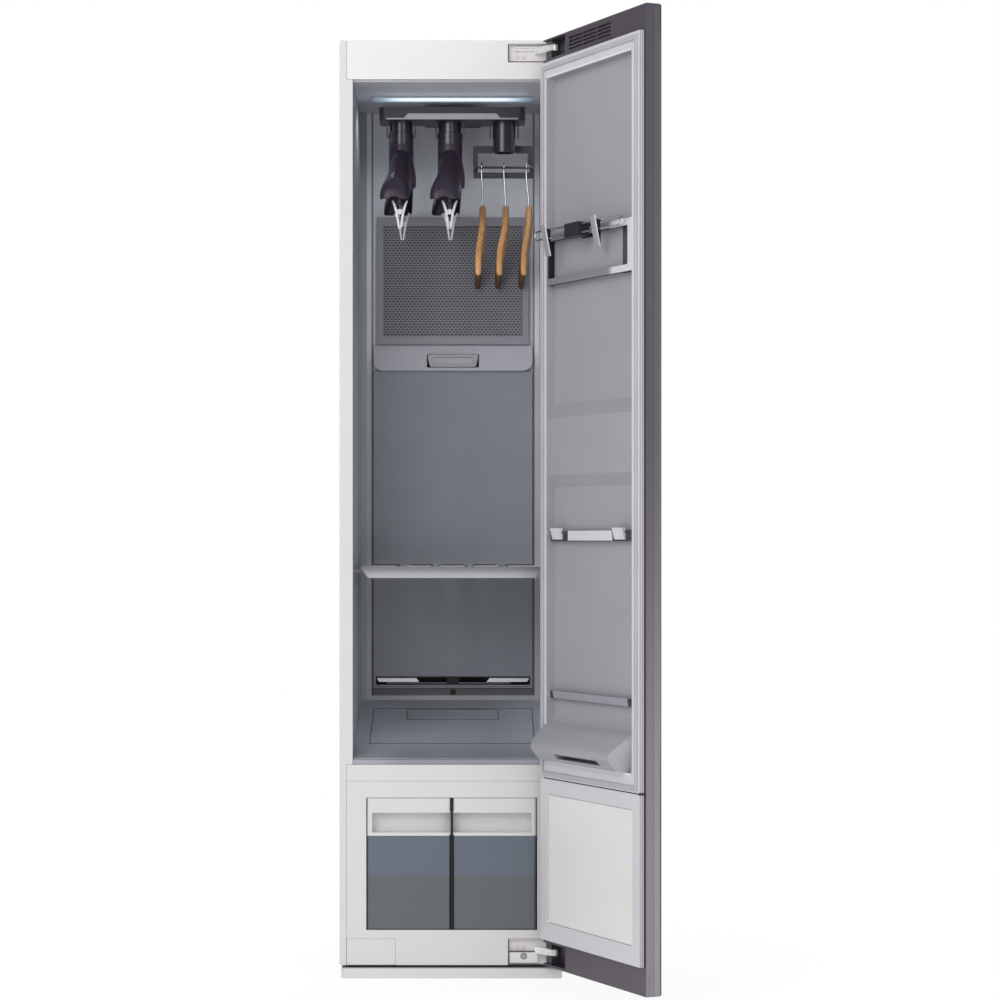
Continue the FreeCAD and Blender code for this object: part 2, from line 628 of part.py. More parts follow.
def nozzles():
    """Three short tubes that blow air down into the hangers, each hung by a flange in the dock."""
    length = DOCK_Z[0] + NOZZLE_RISE - NOZZLE_BOTTOM_Z
    thick, stand_out = NOZZLE_FLANGE
    tubes = []
    for x in NOZZLE_X:
        pipe = rod(x, NOZZLE_Y, NOZZLE_BOTTOM_Z, length, NOZZLE_R)
        flange = rod(x, NOZZLE_Y, DOCK_Z[0] + DOCK_WALL, thick, NOZZLE_R + stand_out)
        bore = rod(x, NOZZLE_Y, NOZZLE_BOTTOM_Z - OVER, length + 2 * OVER, NOZZLE_R - NOZZLE_WALL)
        tubes.append(fused([pipe, flange]).cut(bore))
    node("air_nozzles", *tubes)


RACK_X = (43.0, 168.0)
RACK_Z = (1611.0, 1678.0)
RACK_BARS = (9.0, 12.0, 15.0)       # width of the sides, the foot and the head
RACK_THICK = 6.0
RACK_SET_BACK = 16.0                # of the ring, from the rod
RACK_ROD_R = 2.5
EAR_WIDTH = 4.0
EAR_HALF_Z = 5.0
EAR_FRONT = 3.0


def hanger_rack():
    """Flat black frame carried from the rear wall by two arms, with a thin rod held in front of it."""
    x0, x1 = RACK_X
    z0, z1 = RACK_Z
    side, foot, head = RACK_BARS
    y0 = ROD_Y + RACK_SET_BACK
    y1 = y0 + RACK_THICK
    end = EAR_WIDTH / 2
    ring = frame_y((x0, x1, z0, z1), (x0 + side, x1 - side, z0 + foot, z1 - head), y0, y1)
    cross = rod(x0 + end, ROD_Y, ROD_Z, x1 - x0 - 2 * end, RACK_ROD_R, "x")
    ears = [box(x, x + EAR_WIDTH, ROD_Y - EAR_FRONT, y0 + OVER, ROD_Z - EAR_HALF_Z, ROD_Z + EAR_HALF_Z)
            for x in (x0, x1 - EAR_WIDTH)]
    arms = [box(x, x + side, y1 - OVER, CH_BACK_Y + GAP, z1 - head, z1) for x in (x0, x1 - side)]
    node("hanger_rack", fused([ring, cross] + ears + arms))


# ---------------------------------------------------------------- machinery
FAN_Z = 1414.0
FAN_Y = (452.0, 548.0)
FAN_CASE_R = 118.0
FAN_INLET_R = 78.0
FAN_ROOM = (13.0, 10.0)             # in front of the impeller and behind it
IMPELLER_R = 100.0
FAN_BLADES = 18
SHAFT_R = 5.0
SHAFT_ROOM = 4.0                    # round the shaft, in the case
RUN_CLEARANCE = 0.05
DUCT_HALF = 60.0
DUCT_JOINT_Z = 1545.0
LOW_FAN_Z = 300.0
LOW_FAN_Y = (484.0, 552.0)
LOW_CASE_R = 84.0
LOW_INLET_R = 52.0
LOW_FAN_ROOM = 9.0
LOW_IMPELLER_R = 70.0
LOW_FAN_BLADES = 15


def scroll_case(z, y0, y1, radius, inlet_r, neck_half, neck_top):
    """Round fan case on a Y axis, open at the front inlet and at a neck on top."""
    outer = fused([rod(0, y0, z, y1 - y0, radius, "y"), box(-neck_half, neck_half, y0, y1, z, neck_top)])
    inner = fused([rod(0, y0 + WALL, z, y1 - y0 - 2 * WALL, radius - WALL, "y"),
                   box(-neck_half + WALL, neck_half - WALL, y0 + WALL, y1 - WALL, z, neck_top + OVER)])
    inlet = rod(0, y0 - OVER, z, WALL + 2 * OVER, inlet_r, "y")
    shaft_hole = rod(0, y1 - WALL - OVER, z, WALL + 2 * OVER, SHAFT_R + SHAFT_ROOM, "y")
    return outer.cut(inner).cut(inlet).cut(shaft_hole)


WHEEL_PLATE = 2.5
WHEEL_HUB = (30.0, 16.0)            # length and radius
WHEEL_RING = (3.0, 16.0)            # thickness and width
BLADE_HALF = 1.5
BLADE_IN = (15.5, 1.0)              # from the rim to a blade's inner and outer edge


def impeller(z, y0, y1, radius, blades):
    """Back plate, hub, front ring and a row of blades, turning on a Y axis."""
    hub_length, hub_r = WHEEL_HUB
    ring_thick, ring_width = WHEEL_RING
    parts = [rod(0, y1 - WHEEL_PLATE, z, WHEEL_PLATE, radius, "y"),
             rod(0, y1 - hub_length, z, hub_length, hub_r, "y"),
             tube(0, y0, z, ring_thick, radius, radius - ring_width, "y")]
    for k in range(blades):
        blade = box(radius - BLADE_IN[0], radius - BLADE_IN[1], y0 + OVER, y1 - OVER, z - BLADE_HALF,
                    z + BLADE_HALF)
        blade.rotate(Vec(0, 0, z), Vec(0, 1, 0), 360.0 * k / blades)
        parts.append(blade)
    return fused(parts).cut(rod(0, y0 - OVER, z, y1 - y0 + 2 * OVER, SHAFT_R + RUN_CLEARANCE, "y"))


def blower():
    """Upper fan: draws air through the filter and sends it up to the dock."""
    y0, y1 = FAN_Y
    front, behind = FAN_ROOM
    node("blower_housing", scroll_case(FAN_Z, y0, y1, FAN_CASE_R, FAN_INLET_R, DUCT_HALF, DUCT_JOINT_Z))
    node("blower_impeller", impeller(FAN_Z, y0 + front, y1 - behind, IMPELLER_R, FAN_BLADES))


HEAD_Z = (545.0, 590.0)             # wide box that spreads the lower fan's air over the outlet
MOUTH_IN = 4.0                      # the outlet's opening in that box, in from the outlet's edges


def circulation_fan():
    """Lower fan: sends dried air up to the outlet at the foot of the rear cover."""
    y0, y1 = LOW_FAN_Y
    z0, z1 = HEAD_Z
    front = OUTLET_BACK_Y + GAP
    case = scroll_case(LOW_FAN_Z, y0, y1, LOW_CASE_R, LOW_INLET_R, DUCT_HALF, z0)
    half = OUTLET_HALF
    outer = box(-half, half, front, y1, z0, z1)
    inner = box(-half + WALL, half - WALL, front + WALL, y1 - WALL, z0 + WALL, z1 - WALL)
    mouth = box(-half + MOUTH_IN, half - MOUTH_IN, front - OVER, front + WALL + OVER, OUTLET_Z[0] + MOUTH_IN,
                OUTLET_Z[1] - MOUTH_IN)
    throat = box(-DUCT_HALF + WALL, DUCT_HALF - WALL, y0 + WALL, y1 - WALL, z0 - OVER, z0 + WALL + OVER)
    node("circulation_duct", fused([case, outer.cut(inner).cut(mouth)]).cut(throat))
    wheel = impeller(LOW_FAN_Z, y0 + LOW_FAN_ROOM, y1 - LOW_FAN_ROOM, LOW_IMPELLER_R, LOW_FAN_BLADES)
    node("circulation_impeller", wheel)


MOTOR_DEPTH = 24.0
UPPER_MOTOR = (FAN_Z, FAN_Y[1], 38.0, 44.0)     # height, rear face of the case, can radius, shaft
LOWER_MOTOR = (LOW_FAN_Z, LOW_FAN_Y[1], 32.0, 36.0)


def fan_motors():
    """Motor can and shaft of each fan, behind its case."""
    motors = []
    for z, face, radius, shaft in (UPPER_MOTOR, LOWER_MOTOR):
        can = rod(0, face + GAP, z, MOTOR_DEPTH, radius, "y")
        motors.append(fused([can, rod(0, face - shaft, z, shaft + OVER, SHAFT_R, "y")]))
    node("fan_motors", *motors)


DUCT_SET_BACK = 2.0                 # from the fan case's front
DUCT_FOOT_Z = 1738.0                # foot of the part that reaches forward to the neck
DUCT_OVERLAP = 8.0


def air_duct():
    """Duct from the upper fan to the dock's neck."""
    y0, y1 = FAN_Y[0] + DUCT_SET_BACK, FAN_Y[1]
    z0, z1 = DUCT_JOINT_Z, CH_CEILING_Z
    front = NECK_BACK_Y + GAP
    outer = fused([box(-DUCT_HALF, DUCT_HALF, y0, y1, z0, z1),
                   box(-DUCT_HALF, DUCT_HALF, front, y1, DUCT_FOOT_Z, z1)])
    half = DUCT_HALF - WALL
    neck_half = NECK_HALF - WALL
    inner = fused([box(-half, half, y0 + WALL, y1 - WALL, z0 - OVER, z1 - WALL),
                   box(-neck_half, neck_half, front - OVER, y0 + DUCT_OVERLAP, NECK_BACK_Z[0] + WALL,
                       NECK_BACK_Z[1] - WALL)])
    node("air_duct", outer.cut(inner))


PAN_TOP = BODY_BOTTOM + SKIN        # face that the machinery stands on
CAN_X, CAN_Y = 115.0, 290.0         # axis of the compressor
CAN_Z = (40.0, 210.0)
CAN_R = 55.0
CAN_ROUND = 18.0
CAN_BAND = (8.0, 60.0)              # height and radius of the band round its foot
CAN_PLATE = (65.0, 4.0)             # half side and thickness
CAN_LEG = (47.0, 9.0, 15.0)         # offset from the axis, radius, height
STAY_HALF = 4.0
STAY_Z = (42.0, 48.0)


def compressor():
    """Hermetic can on a foot plate, held to four rubber legs by a square of stays."""
    can = rod(CAN_X, CAN_Y, CAN_Z[0], CAN_Z[1] - CAN_Z[0], CAN_R)
    can = can.makeFillet(CAN_ROUND, [e for e in can.Edges if isinstance(e.Curve, Part.Circle)])
    band_height, band_r = CAN_BAND
    band = rod(CAN_X, CAN_Y, CAN_Z[0], band_height, band_r)
    half, thick = CAN_PLATE
    plate = box(CAN_X - half, CAN_X + half, CAN_Y - half, CAN_Y + half, PAN_TOP, PAN_TOP + thick)
    offset, leg_r, leg_height = CAN_LEG
    parts = [can, band, plate]
    for side in (-offset, offset):
        parts.append(box(CAN_X - offset, CAN_X + offset, CAN_Y + side - STAY_HALF, CAN_Y + side + STAY_HALF,
                         *STAY_Z))
        parts.append(box(CAN_X + side - STAY_HALF, CAN_X + side + STAY_HALF, CAN_Y - offset, CAN_Y + offset,
                         *STAY_Z))
        for way in (-offset, offset):
            parts.append(rod(CAN_X + side, CAN_Y + way, PAN_TOP + thick - OVER, leg_height, leg_r))
    node("compressor", fused(parts))


def bent_pipe(points, radius, bend):
    """Round pipe along straight runs that tangent arcs join."""
    corners = [Vec(*p) for p in points]
    edges = []
    start = corners[0]
    for before, here, after in zip(corners, corners[1:], corners[2:]):
        into = (here - before).normalize()
        out = (after - here).normalize()
        half_turn = into.getAngle(out) / 2
        trim = bend * math.tan(half_turn)
        first = here - into * trim
        last = here + out * trim
        middle = here + (out - into).normalize() * (bend / math.cos(half_turn) - bend)
        edges.append(Part.makeLine(start, first))
        edges.append(Part.Arc(first, middle, last).toShape())
        start = last
    edges.append(Part.makeLine(start, corners[-1]))
    ring = Part.Wire([Part.makeCircle(radius, corners[0], (corners[1] - corners[0]).normalize())])
    return Part.Wire(edges).makePipeShell([ring], True, False)


COIL_X = (-150.0, 40.0)
COIL_Z = (170.0, 400.0)
EVAPORATOR_Y = (380.0, 415.0)
CONDENSER_Y = (430.0, 465.0)
COIL_CHEEK = 2.0
FIN_PITCH = 10.0
COIL_FIN = 1.2
COIL_ROWS = 5
COIL_ROW_Z = 195.0                  # lowest row
COIL_ROW_PITCH = 45.0
COIL_ROW_R = 5.0
PIPE_R = 4.0
PIPE_BEND = 22.0
PIPE_OFFSET = 28.0                  # where the pipes leave the compressor's top
PIPE_RISE = (380.0, 300.0)          # height of the feed and of the return
STAND_IN = (10.0, 30.0)             # the stands, from the coils' ends


def refrigerant_circuit():
    """Evaporator and condenser, finned blocks side by side, with the pipes that link them."""
    x0, x1 = COIL_X
    solids = []
    for y0, y1 in (EVAPORATOR_Y, CONDENSER_Y):
        parts = [box(x0, x0 + COIL_CHEEK, y0, y1, *COIL_Z), box(x1 - COIL_CHEEK, x1, y0, y1, *COIL_Z)]
        for k in range(1, round((x1 - x0) / FIN_PITCH)):
            x = x0 + FIN_PITCH * k
            parts.append(box(x, x + COIL_FIN, y0, y1, *COIL_Z))
        for k in range(COIL_ROWS):
            parts.append(rod(x0, (y0 + y1) / 2, COIL_ROW_Z + COIL_ROW_PITCH * k, x1 - x0, COIL_ROW_R, "x"))
        solids.append(fused(parts))
    for coil, side, rise in ((CONDENSER_Y, -1, PIPE_RISE[0]), (EVAPORATOR_Y, 1, PIPE_RISE[1])):
        y = CAN_Y + side * PIPE_OFFSET
        end_y = sum(coil) / 2
        route = [(CAN_X, y, CAN_Z[1]), (CAN_X, y, rise), (CAN_X, end_y, rise), (x1, end_y, rise)]
        solids.append(bent_pipe(route, PIPE_R, PIPE_BEND))
    near, far = STAND_IN
    for a, b in ((x0 + near, x0 + far), (x1 - far, x1 - near)):
        solids.append(box(a, b, EVAPORATOR_Y[0], CONDENSER_Y[1], PAN_TOP, COIL_Z[0]))
    node("refrigerant_circuit", *solids)


BOILER = (-195.0, -85.0, 200.0, 300.0, 60.0, 190.0)
BOILER_CORNER_R = 12.0
STUB = (40.0, 8.0)                  # length and radius of the steam stub
LEG_SIDE = 12.0
LEG_IN = (5.0, 6.0)                 # the boiler's legs, in from its sides and from front and back
PUMP = (-20.0, 200.0, 90.0)         # front end of the pump's axis
PUMP_LENGTH = 70.0
PUMP_R = 26.0
PUMP_FOOT_HALF = 20.0
PUMP_FOOT_IN = 5.0
PUMP_FOOT_TOP = 70.0


def steam_generator():
    """Boiler box with its steam stub, and the small water pump beside it."""
    x0, x1, y0, y1, z0, z1 = BOILER
    length, radius = STUB
    in_x, in_y = LEG_IN
    parts = [rounded(box(*BOILER), BOILER_CORNER_R, "z"),
             rod((x0 + x1) / 2, (y0 + y1) / 2, z1, length, radius)]
    for x in (x0 + in_x, x1 - in_x - LEG_SIDE):
        for y in (y0 + in_y, y1 - in_y - LEG_SIDE):
            parts.append(box(x, x + LEG_SIDE, y, y + LEG_SIDE, PAN_TOP, z0))
    px, py, pz = PUMP
    foot = box(px - PUMP_FOOT_HALF, px + PUMP_FOOT_HALF, py + PUMP_FOOT_IN, py + PUMP_LENGTH - PUMP_FOOT_IN,
               PAN_TOP, PUMP_FOOT_TOP)
    node("steam_generator", fused(parts), fused([rod(px, py, pz, PUMP_LENGTH, PUMP_R, "y"), foot]))


BOARD_TRAY = (-217.0, -214.0, 320.0, 560.0, 200.0, 400.0)
BOARD_EDGE = 6.0                    # the board, in from its tray's edge
BOARD_THICK = 2.0
CHIP = (16.0, 34.0, 30.0)           # how far it stands out, length, height
CHIP_Y = (340.0, 400.0, 470.0)
CHIP_Z = (220.0, 270.0, 330.0)
CAPACITOR = (24.0, 9.0)             # length and radius
CAPACITOR_Y = (345.0, 372.0, 440.0, 520.0)
CAPACITOR_Z = 312.0


def control_board():
    """Circuit board in a tray on the left side panel, with its larger components."""
    x1, y0, y1, z0, z1 = BOARD_TRAY[1:]
    face = x1 + BOARD_THICK
    board = box(x1, face, y0 + BOARD_EDGE, y1 - BOARD_EDGE, z0 + BOARD_EDGE, z1 - BOARD_EDGE)
    out, length, height = CHIP
    chips = [box(face, face + out, y, y + length, z, z + height) for y in CHIP_Y for z in CHIP_Z]
    reach, radius = CAPACITOR
    capacitors = [rod(face, y, CAPACITOR_Z, reach, radius, "x") for y in CAPACITOR_Y]
    node("control_board", fused([box(*BOARD_TRAY), board] + chips + capacitors))


BAY_WALL = 3.0
BAY_DEPTH = TANK_DEPTH + 26.0
STAND_X = (-160.0, -10.0, 140.0)
STAND_WIDTH = 20.0
STAND_IN_Y = (20.0, 10.0)
SPIGOT_X = 85.0
SPIGOT_RISE = 24.0
SPIGOT = (20.0, 9.0, 5.0)           # length from the bay's rear face, radius, bore


def tank_bay():
    """Two-cell tray that the water tanks slide into, with a coupling in the back of each cell."""
    y0 = FASCIA + GAP
    y1 = BAY_DEPTH
    z0, z1 = BAY_Z
    half = BAY_HALF
    shape = box(-half - BAY_WALL, half + BAY_WALL, y0, y1, z0 - BAY_WALL, z1 + BAY_WALL)
    for x0, x1 in ((-half, -POST_HALF), (POST_HALF, half)):
        shape = shape.cut(box(x0, x1, y0 - OVER, y1 - BAY_WALL, z0, z1))
    front, back = STAND_IN_Y
    parts = [shape]
    for x in STAND_X:
        parts.append(box(x, x + STAND_WIDTH, y0 + front, y1 - back, PAN_TOP, z0 - BAY_WALL))
    length, radius, bore = SPIGOT
    axes = [(side * SPIGOT_X, z0 + SPIGOT_RISE) for side in (-1, 1)]
    for x, z in axes:
        parts.append(rod(x, y1 - length, z, length - OVER, radius, "y"))
    shape = fused(parts)
    for x, z in axes:
        shape = shape.cut(rod(x, y1 - length - OVER, z, length + 2 * OVER, bore, "y"))
    node("tank_bay", shape)


FOAM_AIR = 9.0                      # between the chamber wall and the board
FOAM_Y = (24.0, 430.0)
FOAM_Z = (440.0, 1760.0)


def insulation():
    """Foam boards between the chamber walls and the side panels."""
    right = box(CH_HALF + WALL + FOAM_AIR, HALF - SKIN - 1.0, *FOAM_Y, *FOAM_Z)
    node("insulation", right, mirrored(right))


# ---------------------------------------------------------------- hinges
PIN_R = 3.5
ARM_HEIGHT = 13.0
EYE_R = 6.5
ARM_TOP_Z = 1823.5                  # underside of the upper arm
ARM_LOW_Z = 48.0                    # underside of the lower arm
ARM_REAR_Y = 11.5
ARM_X = (164.0, 184.0)              # where the arm leaves the cabinet
ARM_CRANK = ((184.0, 2.0), (208.0, -26.0), (198.0, -36.0), (171.0, -6.0), (164.0, -2.0))
UPPER_PIN_Z = (1811.0, 1842.0)
LOWER_PIN_Z = (35.0, 67.0)
POCKET_X = (122.0, 214.5)
POCKET_Y = -40.5
POCKET_TOP_Z = (1806.0, 1843.0)
POCKET_LOW_Z = (33.0, 74.0)
TRAY_Y = (0.8, 13.4)
TRAY_FLOOR = 2.0
RAIL = (122.0, 170.0, 4.0, 12.0, 1830.0, 1838.0)
RAIL_SLOT = (126.0, 166.0, 3.0, 7.0, 1832.4, 1835.6)
LOW_PLATE = (114.0, 170.0, 5.0, 12.0, 29.0, 49.5)


def hinge_arm(z):
    """Cranked arm from the cabinet's bracket to the eye on the hinge axis."""
    x0, x1 = ARM_X
    reach = prism_z([(x0, ARM_REAR_Y), (x1, ARM_REAR_Y)] + list(ARM_CRANK), z, z + ARM_HEIGHT)
    return fused([reach, rod(HINGE_X, HINGE_Y, z, ARM_HEIGHT, EYE_R)])


def hinge_pin(z0, z1):
    """Pin on the door's axis."""
    return rod(HINGE_X, HINGE_Y, z0, z1 - z0, PIN_R)


def hinge_tray(z0, z1):
    """Shallow pressed box behind the fascia that carries a hinge arm."""
    x0 = HINGE_BOX_X[0] + GAP
    x1 = HINGE_BOX_X[1] - GAP
    tray = box(x0, x1, *TRAY_Y, z0 + GAP, z1 - GAP)
    return tray.cut(box(x0 + SKIN, x1 - SKIN, TRAY_Y[0] - OVER, TRAY_Y[1] - TRAY_FLOOR, z0 + GAP + SKIN,
                        z1 - GAP - SKIN))


def hinge_brackets():
    """Upper and lower cabinet hinges: tray, rail or plate, arm and pin."""
    rail = box(*RAIL).cut(box(*RAIL_SLOT))
    upper = fused([hinge_tray(*HINGE_TOP_Z), rail, hinge_arm(ARM_TOP_Z), hinge_pin(*UPPER_PIN_Z)])
    lower = fused([hinge_tray(*HINGE_LOW_Z), box(*LOW_PLATE), hinge_arm(ARM_LOW_Z), hinge_pin(*LOWER_PIN_Z)])
    node("hinge_brackets", upper, lower)


CUP_BACK = 2.2
CUP_BLOCK_X = 190.0
CUP_FRONT_Y = -17.0
ARM_ROOM = 0.8                      # under and over an arm, in its cup


def hinge_cup(pocket_z, arm_z):
    """Liner of a door pocket with a bored boss on each side of the arm."""
    z0 = pocket_z[0] + GAP
    z1 = pocket_z[1] - GAP
    y0 = POCKET_Y + GAP
    back = box(POCKET_X[0] + GAP, POCKET_X[1], y0, POCKET_Y + CUP_BACK, z0, z1)
    under = box(CUP_BLOCK_X, POCKET_X[1], y0, CUP_FRONT_Y, z0, arm_z - ARM_ROOM)
    over = box(CUP_BLOCK_X, POCKET_X[1], y0, CUP_FRONT_Y, arm_z + ARM_HEIGHT + ARM_ROOM, z1)
    bore = rod(HINGE_X, HINGE_Y, z0 - OVER, z1 - z0 + 2 * OVER, PIN_R + RUN_CLEARANCE)
    return fused([back, under, over]).cut(bore)


def hinge_cups():
    """Black hinge housings let into the top and bottom of the door."""
    upper = hinge_cup(POCKET_TOP_Z, ARM_TOP_Z)
    lower = hinge_cup(POCKET_LOW_Z, ARM_LOW_Z)
    node("hinge_cups", swung(upper), swung(lower))


# ---------------------------------------------------------------- door, built closed
VENT_X = (-81.0, 109.0)
VENT_Z = (1805.0, 1838.0)
VENT_ROWS = 4
VENT_COLUMNS = 3
VENT_BAR = 3.0                      # width of the bars between the slots
VENT_EDGE = (4.5, 4.2)              # from the opening's corner to the first slot
VENT_REST = (6.0, 5.0)              # of the opening's width and height that isn't slots and bars
VENT_STEP = 0.6                     # how far the grille stands out
GLASS = 4.0
FRAME_WALL = 2.5
FRAME_FACE = 2.0                    # thickness of the frame's inner face
FRAME_WINDOW = (-190.0, 190.0, 100.0, 1786.0)
END_CAP = (0.8, 34.0, 4.0)          # thickness, height, distance from the door's end
END_CAP_IN = (8.0, 6.0)             # in from the door's front and back


def door_panel():
    """Glass sheet over the whole outside of the door."""
    y0 = DOOR_Y[0]
    half = DOOR_HALF - 1.0
    node("door_panel", swung(box(-half, half, y0, y0 + GLASS, DOOR_Z[0] + 1.0, DOOR_Z[1] - 1.0)))


def door_frame():
    """Metal frame: four walls and an inner face, with pockets for the hinges and a vent opening."""
    y0 = DOOR_Y[0] + GLASS
    y1 = DOOR_Y[1]
    inside = DOOR_HALF - FRAME_WALL
    face = y1 - FRAME_FACE
    outer = box(-DOOR_HALF, DOOR_HALF, y0, y1, *DOOR_Z)
    inner = box(-inside, inside, y0 - OVER, face, DOOR_Z[0] + FRAME_WALL, DOOR_Z[1] - FRAME_WALL)
    x0, x1, z0, z1 = FRAME_WINDOW
    shape = outer.cut(inner).cut(box(x0, x1, face - OVER, y1 + OVER, z0, z1))
    for pocket in (POCKET_TOP_Z, POCKET_LOW_Z):
        shape = shape.cut(box(POCKET_X[0], DOOR_HALF + OVER, POCKET_Y, y1 + OVER, *pocket))
    shape = shape.cut(box(*VENT_X, face - OVER, y1 + OVER, *VENT_Z))
    node("door_frame", swung(shape))


def door_trims():
    """Black vent grille in the inner face and the two end caps on the free edge."""
    x0, x1 = VENT_X
    z0, z1 = VENT_Z
    back, front = DOOR_Y[1] - FRAME_FACE, DOOR_Y[1] + VENT_STEP
    grille = box(x0 + GAP, x1 - GAP, back, front, z0 + GAP, z1 - GAP)
    column = (x1 - x0 - VENT_REST[0]) / VENT_COLUMNS
    row = (z1 - z0 - VENT_REST[1]) / VENT_ROWS
    for i in range(VENT_ROWS):
        for j in range(VENT_COLUMNS):
            x = x0 + VENT_EDGE[0] + column * j
            z = z0 + VENT_EDGE[1] + row * i
            grille = grille.cut(box(x, x + column - VENT_BAR, back - OVER, front + OVER, z,
                                    z + row - VENT_BAR))
    thick, height, margin = END_CAP
    front_in, back_in = END_CAP_IN
    caps = [box(-DOOR_HALF - thick, -DOOR_HALF, DOOR_Y[0] + front_in, DOOR_Y[1] - back_in, z, z + height)
            for z in (DOOR_Z[0] + margin, DOOR_Z[1] - margin - height)]
    node("door_trims", *[swung(s) for s in [grille] + caps])


DOOR_FOAM_HALF = 208.0
DOOR_FOAM_Z = (88.0, 1793.0)
LINER_WALL = 2.5


def door_insulation():
    """Foam board that fills the door."""
    y0 = DOOR_Y[0] + GLASS + GAP
    y1 = RECESS_FLOOR_Y - LINER_WALL - GAP
    node("door_insulation", swung(box(-DOOR_FOAM_HALF, DOOR_FOAM_HALF, y0, y1, *DOOR_FOAM_Z)))


BOSS_Z = (966.0, 990.0, 1101.0, 1129.0)
WEDGE = ((-21.5, 541.0), (-20.6, 527.0), (-17.0, 516.5), (-11.0, 510.0), (0.0, 504.5), (8.0, 498.0),
         (15.0, 490.0), (23.0, 481.5), (31.0, 472.0), (33.0, 466.0), (32.0, 457.0), (11.5, 436.0),
         (-4.5, 434.0), (-21.5, 434.0))          # closed Y and Z, from the top round the nose
WEDGE_CUT_Z = (425.0, 550.0)
WEDGE_END = ((-157.0, 32.7, 465.0), (-152.0, 11.5, 436.0), (-183.5, 8.0, 495.0))    # on its slanting end
WEDGE_CUT_REACH = 120.0
WEDGE_CORNER = ((178.0, 34.0), (RECESS_HALF + 1.0, 34.0), (RECESS_HALF + 1.0, 20.0))
WEDGE_SLOT = (-97.0, 90.0, -12.0, 34.0, 443.5, 452.8)
LIP = (4.0, 1.0)                    # width and height of the raised rim of the recess
RECESS_CORNER_R = 9.0
BAR_BOSS = 3.4                      # how far a pivot lug stands into the recess
LUG_HALF = 6.0
SINK = 0.5                          # how far a moulded form runs into the liner that carries it


def pivot_lugs(z, y):
    """Bored lugs on the recess sides that hold a press bar."""
    right = box(RECESS_HALF - BAR_BOSS, RECESS_HALF + SINK, y - LUG_HALF, y + LUG_HALF, z - LUG_HALF,
                z + LUG_HALF)
    return [right, mirrored(right)]


def door_liner():
    """Moulded upper liner: raised border, deep recess, a boss across it and the wedge at its foot."""
    z0, z1 = LINER_SPLIT_Z + GAP, LINER_Z[1]
    face, back, floor = LINER_FACE_Y, DOOR_Y[1], RECESS_FLOOR_Y
    half, t = RECESS_HALF, LINER_WALL
    pan_z = (RECESS_Z[0] - t, RECESS_Z[1] + t)
    border = box(-LINER_HALF, LINER_HALF, back, face, z0, z1)
    pan = box(-half - t, half + t, floor - t, back, *pan_z)
    hollow = frame_y((-LINER_HALF + t, LINER_HALF - t, z0 + t, z1 - t), (-half - t, half + t, *pan_z),
                     back - OVER, face - t)
    width, height = LIP
    lip = rounded(box(-half - width, half + width, face - SINK, face + height, RECESS_Z[0] - width,
                      RECESS_Z[1] + width), RECESS_CORNER_R + width, "y")
    recess = rounded(box(-half, half, floor, face + height + OVER, *RECESS_Z), RECESS_CORNER_R, "y")
    shape = fused([border, pan, lip]).cut(hollow).cut(recess)
    low, near, far, high = BOSS_Z
    boss = prism_x([(floor - SINK, low), (face, near), (face, far), (floor - SINK, high)], -half - SINK,
                   half + SINK)
    wedge = prism_x(list(WEDGE), -half - GAP, half + GAP)
    for cut in (beyond(*WEDGE_END, WEDGE_CUT_REACH), prism_z(list(WEDGE_CORNER), *WEDGE_CUT_Z),
                box(*WEDGE_SLOT)):
        wedge = wedge.cut(cut)
    pivots = (MID_PIVOT, LOW_PIVOT)
    shape = fused([shape, boss, wedge] + [lug for pivot in pivots for lug in pivot_lugs(*pivot)])
    for z, y in pivots:
        for start in (half - BAR_BOSS - OVER, -half - GAP):
            shape = shape.cut(rod(start, y, z, BAR_BOSS + OVER + GAP, PIVOT_R + RUN_CLEARANCE, "x"))
    node("door_liner", swung(shape))


BAR_END_GAP = 0.6                   # between a press bar's end and its lug
BAR_Y = (-1.5, 1.5)                 # back and front of the bar, from its pivot
BAR_HUB_R = 3.4
BAR_PIN = 2.6
PAD_BACK = 1.0
MIDDLE_BAR_Z = (862.0, 882.5)
LOWER_BAR_Z = (556.0, 571.0)
# left, right, foot, head, and how far the foot and the head stand out from the pivot
MIDDLE_PADS = ((-90.6, 98.0, 863.0, 881.5, 4.0, 4.0), (126.0, 167.0, 865.0, 887.0, 4.0, 9.7),
               (-143.0, -102.5, 865.0, 887.0, 4.0, 9.7))
LOWER_PADS = ((-155.0, 165.0, 556.5, 571.0, 2.0, 5.0),)


def press_bar(z_range, pivot, pads):
    """Flat bar across the door recess with a plate and grips on its face and a pin at each end."""
    z, y = pivot
    z0, z1 = z_range
    half = RECESS_HALF - BAR_BOSS - BAR_END_GAP
    bar = box(-half, half, y + BAR_Y[0], y + BAR_Y[1], z0, z1)
    hub = rod(-half, y, z, 2 * half, BAR_HUB_R, "x")
    pins = rod(-half - BAR_PIN, y, z, 2 * (half + BAR_PIN), PIVOT_R, "x")
    fronts = [prism_x([(y + PAD_BACK, foot), (y + low, foot), (y + high, head), (y + PAD_BACK, head)], x0, x1)
              for x0, x1, foot, head, low, high in pads]
    return fused([bar, hub, pins] + fronts)


def press_bars():
    """Middle and lower press bars, which fold up out of the recess."""
    node("press_bar_middle", swung(press_bar(MIDDLE_BAR_Z, MID_PIVOT, MIDDLE_PADS)))
    node("press_bar_lower", swung(press_bar(LOWER_BAR_Z, LOW_PIVOT, LOWER_PADS)))


LOW_PANEL = (-183.0, 183.0, 117.0, 368.0)
LOW_PANEL_DEPTH = 2.5
LOW_PANEL_CORNER_R = 6.0
LOW_LINER_WALL = 3.0
LOW_LINER_FACE = 5.5                # thickness of the liner's face


